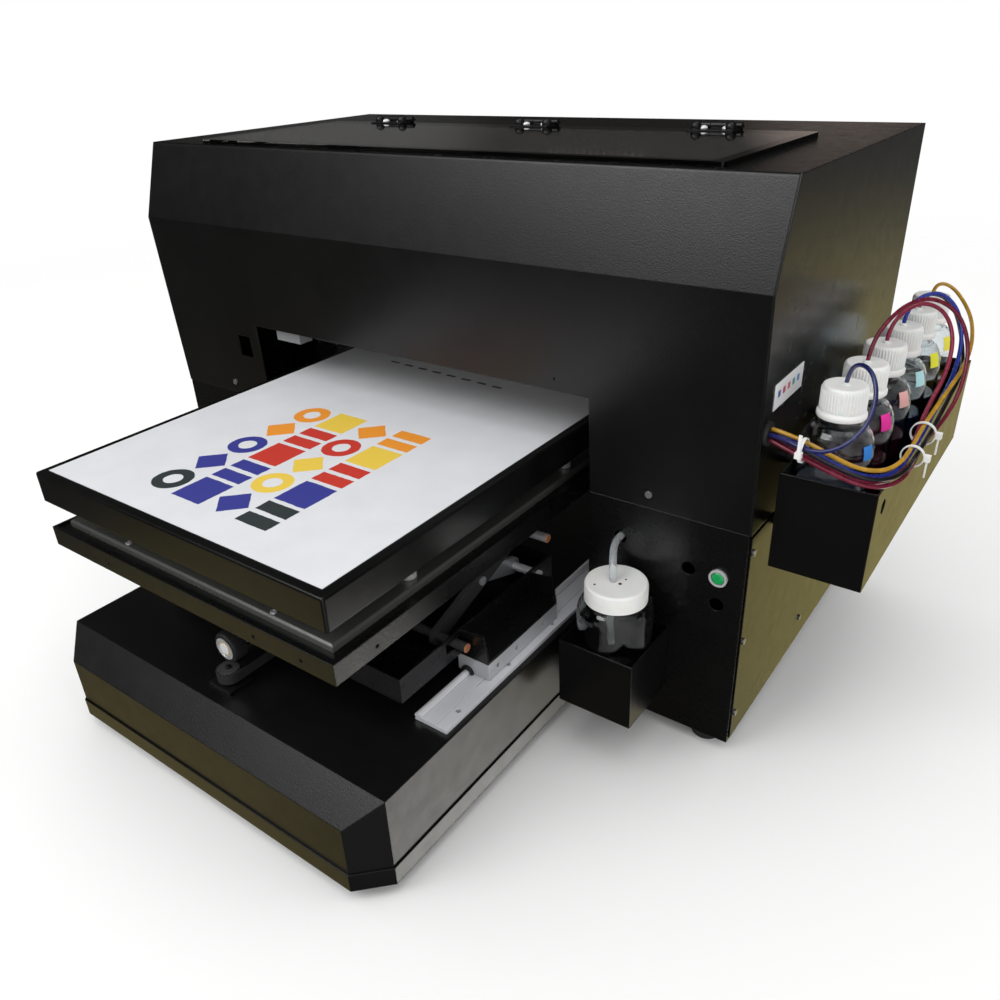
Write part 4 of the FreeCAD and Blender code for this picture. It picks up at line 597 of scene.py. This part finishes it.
def make_inks():
    for i, tint in enumerate(INKS):
        rows = [(24.0, 1.6), (27.4, 3.6), (27.6, 40.0), (27.6, 76.0), (27.2, 77.0), (0.5, 76.4)]
        verts, faces = lathe(rows, bottle_base(i), 64)
        n = Nodes("ink_%d" % (i + 1))
        n.color(n.shades(n.noise(40.0, 2.0, 0.5), tuple(c * 0.6 for c in tint), tint))
        n.set(Coat_Weight=0.6, Coat_Roughness=0.05)
        n.roughness(n.noise(20.0, 2.0, 0.5), 0.08, 0.16)
        piece("ink_%d" % (i + 1), verts, faces, n.mat, "body")
    rows = [(31.0, 1.6), (34.2, 3.8), (34.5, 14.0), (34.2, 15.0), (0.5, 14.5)]
    verts, faces = lathe(rows, P(WASTE_X, WASTE_Y, WASTE_BASE), 64)
    n = Nodes("waste_ink")
    n.color(n.shades(n.noise(30.0, 3.0, 0.6), (0.01, 0.01, 0.012), (0.03, 0.02, 0.03)))
    n.roughness(n.noise(20.0, 2.0, 0.5), 0.08, 0.16)
    piece("waste_ink", verts, faces, n.mat, "body")


# A bottle's shoulder is a quarter of an ellipse from its side to its neck, in mm.
NECK_RADIUS = 16.0
SHOULDER_BASE = 104.0
SHOULDER_WIDTH, SHOULDER_RISE = 13.0, 24.0


def shoulder_point(i, around, up, lift):
    """A point on a bottle's shoulder, lifted off it by a distance in mm.

    around is in degrees from +X, and up goes from 0 at the side to 90 at the neck.
    """
    a, b = math.radians(around), math.radians(up)
    normal = Vector((SHOULDER_RISE * math.cos(b), 0, SHOULDER_WIDTH * math.sin(b))).normalized()
    r = NECK_RADIUS + SHOULDER_WIDTH * math.cos(b) + lift * normal.x
    h = SHOULDER_BASE + SHOULDER_RISE * math.sin(b) + lift * normal.z
    return bottle_base(i) + Vector((r * math.cos(a), r * math.sin(a), h)) / 1000


def make_stickers():
    """A thin curved patch on each shoulder: an inner and an outer grid, joined round the rim."""
    across, along = 6, 8
    width = across + 1
    layer = width * (along + 1)
    rim = list(range(width)) + [v * width + across for v in range(1, along + 1)]
    rim += [along * width + u for u in range(across - 1, -1, -1)]
    rim += [v * width for v in range(along - 1, 0, -1)]
    for i, tint in enumerate(STICKERS):
        a0, a1, b0, b1 = (-36, -12, 10, 46) if i else (-30, -8, 2, 30)
        verts, faces = [], []
        for lift in (0.12, 0.35):
            for v in range(along + 1):
                for u in range(width):
                    around, up = a0 + (a1 - a0) * u / across, b0 + (b1 - b0) * v / along
                    verts.append(shoulder_point(i, around, up, lift))
        for v in range(along):
            for u in range(across):
                a = v * width + u
                faces.append((a, a + width, a + width + 1, a + 1))
                b = layer + a
                faces.append((b, b + 1, b + width + 1, b + width))
        for a, b in zip(rim, rim[1:] + rim[:1]):
            faces.append((a, b, layer + b, layer + a))
        name = "sticker_%d" % (i + 1)
        piece(name, verts, faces, plastic(name, tint, 0.45), "body")


make_caps()
make_inks()
make_stickers()


# ---------------------------------------------------------------- small metal parts
COPPER = metal("copper", (0.72, 0.30, 0.14), 0.35)
CHROME = metal("chrome", (0.90, 0.90, 0.91), 0.12, metallic=0.3)
SCREW = metal("screw", (0.62, 0.62, 0.64), 0.25)
# Near-black for the flat discs on the waste cap's top: painted shade standing in for its small holes.
HOLE_SHADE = plastic("painted_hole_shade", (0.006, 0.006, 0.006), 0.6)
SEAL = plastic("seal", (0.012, 0.012, 0.012), 0.5)

SIDES = (("right", 1), ("left", -1))
# Places of the details in the design frame. OUT is a distance to each side of MIDDLE_X.
ROD_OUT, RAIL_OUT, BLOCK_OUT, SHAFT_OUT = 185.02, 204, 200.4, 179.25
RAIL_SCREW_Y = (-180, -105, -30, 45, 120, 195, 270, 345)
BLOCK_SCREW_Y = (-120, -90, -44)
RAIL_TOP, BLOCK_SCREW_Z, PLATE_TOP = 108.4, 119.3, 235.98
PLATE_SCREW_X, PLATE_SCREW_Y = (293, 487), -277
HINGE_X, HINGE_SCREW_OUT = (180, 390, 600), 12.5
HINGE_SCREW_Y, LEAF_TOP = 246.5, 537.1
BLOCK_FRONT_Y, SHAFT_Z = -134.02, 110.5
KNOB_Y, KNOB_Z = -246, 144
BUTTON_Y, BEZEL_Y = 14.7, 9.0
WASTE_CAP_TOP = 184.75
WASTE_DOTS = ((-120, -44, 1.1), (-100, -22, 1.0), (-101, -31, 1.6))  # from the hood's side, y, radius


def rod_end(name, y, z, way, body):
    """The copper-coloured end face of a rod."""
    rows = [(4.45, 0.0), (4.45, 0.5), (4.0, 0.9), (1.0, 0.95)]
    verts, faces = lathe(rows, P(MIDDLE_X + ROD_OUT * way, y, z), 40, (way, 0, 0))
    piece(name, verts, faces, COPPER, body)


def socket_screw(name, place, direction, body, radius, height):
    """A screw head with a sunk round socket."""
    rows = [(radius, 0.0), (radius, height * 0.45), (radius * 0.86, height * 0.85),
            (radius * 0.5, height), (radius * 0.42, height), (radius * 0.38, height * 0.45),
            (0.2, height * 0.4)]
    verts, faces = lathe(rows, place, 36, direction)
    piece(name, verts, faces, SCREW, body)


def make_small_parts():
    for side, way in SIDES:
        rod_end("slide_pin_end_" + side, -140, 144, way, "outer_arms")
        rod_end("platform_rod_end_" + side, -6, 190, way, "platform")
    for side, way in SIDES:
        for i, y in enumerate(RAIL_SCREW_Y):
            place = P(MIDDLE_X + RAIL_OUT * way, y, RAIL_TOP)
            socket_screw("rail_screw_%s_%d" % (side, i), place, UP, "body", 2.5, 1.2)
        for i, y in enumerate(BLOCK_SCREW_Y):
            place = P(MIDDLE_X + BLOCK_OUT * way, y, BLOCK_SCREW_Z)
            socket_screw("block_screw_%s_%d" % (side, i), place, (way, 0, 0), "table", 2.3, 1.2)
    for i, x in enumerate(PLATE_SCREW_X):
        place = P(x, PLATE_SCREW_Y, PLATE_TOP)
        socket_screw("plate_screw_front_%d" % i, place, UP, "platform", 3.0, 1.6)
    dome = [(4.6, 0.0), (4.8, 0.6), (4.4, 1.6), (3.2, 2.5), (1.6, 2.9), (0.2, 3.0)]
    for i, x in enumerate(HINGE_X):
        for side, way in SIDES[::-1]:
            verts, faces = lathe(dome, P(x + HINGE_SCREW_OUT * way, HINGE_SCREW_Y, LEAF_TOP), 40)
            piece("lid_screw_%d_%s" % (i + 1, side), verts, faces, CHROME, "lid")
    # Flat near-black discs on the waste cap's top: painted shade where the cap has small holes.
    for i, (x, y, r) in enumerate(WASTE_DOTS):
        rows = [(r, 0.0), (r, 0.18), (r * 0.7, 0.25), (0.1, 0.25)]
        verts, faces = lathe(rows, P(SIDE_X + x, y, WASTE_CAP_TOP), 24)
        piece("waste_cap_dot_%d" % (i + 1), verts, faces, HOLE_SHADE, "body")


def seal_ring(name, way):
    """Black wiper lip round the front of the guide shaft, open underneath."""
    centre = P(MIDDLE_X + way * SHAFT_OUT, BLOCK_FRONT_Y, SHAFT_Z)
    verts, faces = [], []
    count = 25
    for y, r0, r1 in ((0.0, 3.75, 7.2), (-2.6, 3.75, 6.6)):
        for i in range(count):
            angle = math.radians(-8 + 196 * i / (count - 1))
            for r in (r0, r1):
                verts.append(centre + Vector((r * math.cos(angle), y, r * math.sin(angle))) / 1000)
    n = 2 * count
    for i in range(count - 1):
        a, b, c, d = 2 * i, 2 * i + 1, 2 * i + 3, 2 * i + 2
        faces += [(a, b, c, d), (n + a, n + d, n + c, n + b), (b, n + b, n + c, c),
                  (a, d, n + d, n + a)]
    faces += [(0, n, n + 1, 1), (n - 2, n - 1, n + n - 1, n + n - 2)]
    piece(name, verts, faces, SEAL, "table")


make_small_parts()
for side, way in SIDES:
    seal_ring("seal_" + side, way)


def make_knob():
    """The lift's ribbed knob, with a bright ring and a pale centre set into its face."""
    base = P(MIDDLE_X, KNOB_Y, KNOB_Z)
    rows = [(6.2, 0.0), (13.2, 0.0), (14.3, 0.9), (14.5, 2.5), (14.5, 13.0), (14.2, 14.6), (12.6, 15.7),
            (11.6, 15.9), (11.5, 14.6), (6.2, 14.6)]
    verts, faces = lathe(rows, base, 240, FORWARD, ribs=(40, 0.9, 2.0, 13.5))
    piece("knob", verts, faces, plastic("knob_black", (0.015, 0.015, 0.016), 0.4), "screw",
          replaces=("lift_knob",))
    rows = [(8.6, 14.4), (11.3, 14.4), (11.3, 15.6), (10.6, 16.0), (9.2, 16.0), (8.6, 15.4)]
    verts, faces = lathe(rows, base, 96, FORWARD)
    ring = metal("knob_ring", (0.66, 0.66, 0.67), 0.15)
    piece("knob_ring", verts, faces, ring, "screw")
    rows = [(8.5, 14.3), (8.5, 15.2), (7.4, 15.5), (2.6, 15.5), (2.2, 14.8), (0.3, 14.8)]
    verts, faces = lathe(rows, base, 96, FORWARD)
    centre = metal("cream_brass", (0.80, 0.66, 0.42), 0.3)
    piece("knob_centre", verts, faces, centre, "screw")


make_knob()


def make_button():
    """The domed green lens, and the fixed rim round it."""
    rows = [(5.9, 0.0), (5.9, 7.6), (5.6, 8.2), (4.8, 8.7), (3.2, 9.0), (1.4, 9.05), (0.2, 9.05)]
    verts, faces = lathe(rows, P(BUTTON_X, BUTTON_Y, BUTTON_Z), 64, FORWARD)
    n = Nodes("green_lens")
    n.color(n.shades(n.noise(160.0, 2.0, 0.5), (0.0, 0.24, 0.06), (0.01, 0.38, 0.10)))
    n.set(Coat_Weight=1.0, Coat_Roughness=0.04)
    n.roughness(n.noise(60.0, 2.0, 0.5), 0.2, 0.3)
    piece("button_lens", verts, faces, n.mat, "button", replaces=("power_button",))
    rows = [(8.5, 0.0), (8.5, 0.05), (8.45, 1.0), (8.0, 2.1), (7.4, 2.45), (6.9, 2.3), (6.35, 1.6),
            (6.35, -1.5)]
    verts, faces = lathe(rows, P(BUTTON_X, BEZEL_Y, BUTTON_Z), 72, FORWARD)
    open_ends = faces[:-2]
    bezel = metal("bezel", (0.62, 0.58, 0.47), 0.2, metallic=0.8)
    piece("bezel_rim", verts, open_ends, bezel, "body")


make_button()


# ---------------------------------------------------------------- side label
LABEL_TINTS = [(0.05, 0.08, 0.35), (0.55, 0.05, 0.12), (0.65, 0.12, 0.15), (0.10, 0.35, 0.35),
               (0.12, 0.25, 0.55)]
LABEL_FIRST_Y, LABEL_STEP = 34.0, 11
SQUARE_HALF_Y, SQUARE_HALF_Z = 3.2, 3.0


def label_material():
    """Glossy white card with a row of plain colour squares."""
    n = Nodes("side_label")
    separate = n.add("ShaderNodeSeparateXYZ")
    n.link(n.coords, separate.inputs[0])
    y = n.math("MULTIPLY", n.math("SUBTRACT", separate.outputs[1], ORIGIN.y), 1000.0)
    z = n.math("MULTIPLY", separate.outputs[2], 1000.0)
    color = n.shades(n.noise(60.0, 2.0, 0.5), (0.78, 0.78, 0.80), (0.86, 0.86, 0.87))
    off_row = n.math("ABSOLUTE", n.math("SUBTRACT", z, LABEL_Z))
    for i, tint in enumerate(LABEL_TINTS):
        off_square = n.math("ABSOLUTE", n.math("SUBTRACT", y, LABEL_FIRST_Y + LABEL_STEP * i))
        dy = n.math("SUBTRACT", off_square, SQUARE_HALF_Y)
        dz = n.math("SUBTRACT", off_row, SQUARE_HALF_Z)
        mask = n.math("MULTIPLY", n.math("MAXIMUM", dy, dz), -3.0, clamp=True)
        color = n.mix(mask, color, tint)
    n.color(color)
    n.roughness(n.noise(90.0, 2.0, 0.5), 0.35, 0.45)
    return n.mat


def make_label():
    verts, faces = chamfered_slab(SIDE_X + 0.02, SIDE_X + 0.6, 24, 90, 354, 376, 0.15)
    piece("side_label", verts, faces, label_material(), "body", smooth=False)


make_label()


# ---------------------------------------------------------------- floor, light and surroundings
FLOOR_HALF = 6.0  # half its side, in metres
FLOOR_FADE = (0.9, 3.2)  # metres from the middle, from solid to fully clear


def floor_material():
    """Pale matt sweep that thins out to the white surround a few metres away."""
    n = Nodes("floor")
    n.color(n.shades(n.noise(0.7, 2.0, 0.5), (0.87, 0.87, 0.865), (0.885, 0.885, 0.88)))
    n.set(Roughness=0.9, Specular_IOR_Level=0.1)
    length = n.add("ShaderNodeVectorMath", operation="LENGTH")
    n.link(n.coords, length.inputs[0])
    clear = n.add("ShaderNodeBsdfTransparent")
    blend = n.add("ShaderNodeMixShader")
    n.link(n.fade(length.outputs["Value"], *FLOOR_FADE), blend.inputs[0])
    n.link(n.shader.outputs[0], blend.inputs[1])
    n.link(clear.outputs[0], blend.inputs[2])
    n.link(blend.outputs[0], n.out.inputs[0])
    return n.mat


def make_floor():
    mesh = bpy.data.meshes.new("floor")
    corners = [(-1, -1), (1, -1), (1, 1), (-1, 1)]
    mesh.from_pydata([(x * FLOOR_HALF, y * FLOOR_HALF, 0) for x, y in corners], [], [(0, 1, 2, 3)])
    floor = bpy.data.objects.new("floor", mesh)
    bpy.context.scene.collection.objects.link(floor)
    mesh.materials.append(floor_material())
    floor.visible_glossy = False


TENT_RADIUS = 7.0  # metres
TENT_GLOW = (0.030, 0.0285, 0.027)  # how bright the surround is away from the patches
# Each patch: its direction, the cosines where it starts and where it is full, and its brightness.
PATCHES = [
    ((0.21, 0.86, -0.46), 0.90, 0.985, (0.50, 0.43, 0.16)),
    ((0.53, 0.43, -0.73), 0.966, 0.994, (3.0, 2.95, 2.8)),
    ((0.30, 0.92, -0.10), 0.95, 0.999, (0.08, 0.08, 0.08)),
    ((-0.64, -0.40, -0.66), 0.93, 0.99, (0.32, 0.265, 0.10)),
    ((-0.30, -0.60, 0.75), 0.86, 0.97, (1.1, 1.1, 1.15)),
    ((-0.22, 0.97, 0.08), 0.988, 0.999, (0.42, 0.34, 0.30)),
    ((-0.72, 0.68, 0.08), 0.975, 0.995, (0.07, 0.07, 0.07)),
    ((0.75, -0.65, -0.15), 0.72, 0.97, (0.42, 0.42, 0.44)),
    ((-0.90, 0.20, -0.25), 0.86, 0.98, (0.30, 0.30, 0.30)),
    ((0.40, -0.75, 0.50), 0.80, 0.97, (0.50, 0.50, 0.52)),
]


def tent_material():
    """A dim glow, with soft patches of light that lie in fixed directions from the object."""
    n = Nodes("tent", "ShaderNodeEmission")
    way = n.add("ShaderNodeVectorMath", operation="NORMALIZE")
    n.link(n.coords, way.inputs[0])
    total = None
    for direction, start, end, tint in PATCHES:
        cosine = n.vector("DOT_PRODUCT", way.outputs[0], Vector(direction).normalized())["Value"]
        light = n.add("ShaderNodeVectorMath", operation="SCALE")
        light.inputs[0].default_value = tint
        n.link(n.fade(cosine, start, end), light.inputs["Scale"])
        glow = light.outputs[0]
        total = glow if total is None else n.vector("ADD", total, glow)[0]
    n.link(n.vector("ADD", total, TENT_GLOW)[0], n.shader.inputs["Color"])
    return n.mat


def make_tent():
    """A sphere that only glossy rays see. It gives the black paint something to reflect."""
    count, rings = 48, 24
    verts = [(0, 0, TENT_RADIUS)]
    for j in range(1, rings):
        b = math.pi * j / rings
        for i in range(count):
            a = 2 * math.pi * i / count
            verts.append((TENT_RADIUS * math.sin(b) * math.cos(a),
                          TENT_RADIUS * math.sin(b) * math.sin(a), TENT_RADIUS * math.cos(b)))
    verts.append((0, 0, -TENT_RADIUS))
    faces = [(0, 1 + i, 1 + (i + 1) % count) for i in range(count)]
    for j in range(rings - 2):
        for i in range(count):
            a, b = 1 + j * count + i, 1 + j * count + (i + 1) % count
            faces.append((a, a + count, b + count, b))
    last = len(verts) - 1
    low_ring = 1 + (rings - 2) * count
    faces += [(last, low_ring + (i + 1) % count, low_ring + i) for i in range(count)]
    mesh = bpy.data.meshes.new("tent")
    mesh.from_pydata(verts, [], faces)
    mesh.shade_smooth()
    tent = bpy.data.objects.new("tent", mesh)
    bpy.context.scene.collection.objects.link(tent)
    mesh.materials.append(tent_material())
    tent.visible_camera = False
    tent.visible_diffuse = False
    tent.visible_shadow = False
    tent.visible_transmission = False
    tent.visible_volume_scatter = False


def area_light(name, place, target, size, power):
    """A rectangular light that the camera doesn't see, in metres and watts."""
    data = bpy.data.lights.new(name, "AREA")
    data.shape = "RECTANGLE"
    data.size, data.size_y = size
    data.energy = power
    light = bpy.data.objects.new(name, data)
    light.location = place
    light.rotation_mode = "QUATERNION"
    light.rotation_quaternion = (Vector(target) - Vector(place)).to_track_quat("-Z", "Y")
    light.visible_camera = False
    bpy.context.scene.collection.objects.link(light)


def make_light():
    world = bpy.data.worlds.new("studio")
    world.use_nodes = True
    background = world.node_tree.nodes["Background"]
    background.inputs[0].default_value = (1.0, 1.0, 1.0, 1)
    background.inputs[1].default_value = 1.0
    bpy.context.scene.world = world
    middle = (0, 0, 0.2)
    area_light("key", (-1.2, -2.2, 2.6), middle, (1.8, 1.4), 30)
    area_light("top", (0.6, -0.2, 3.0), middle, (2.4, 2.0), 14)
    bpy.context.scene.view_settings.view_transform = "Standard"
    bpy.context.scene.view_settings.look = "None"
    bpy.context.scene.view_settings.exposure = 0.0


make_floor()
make_tent()
make_light()
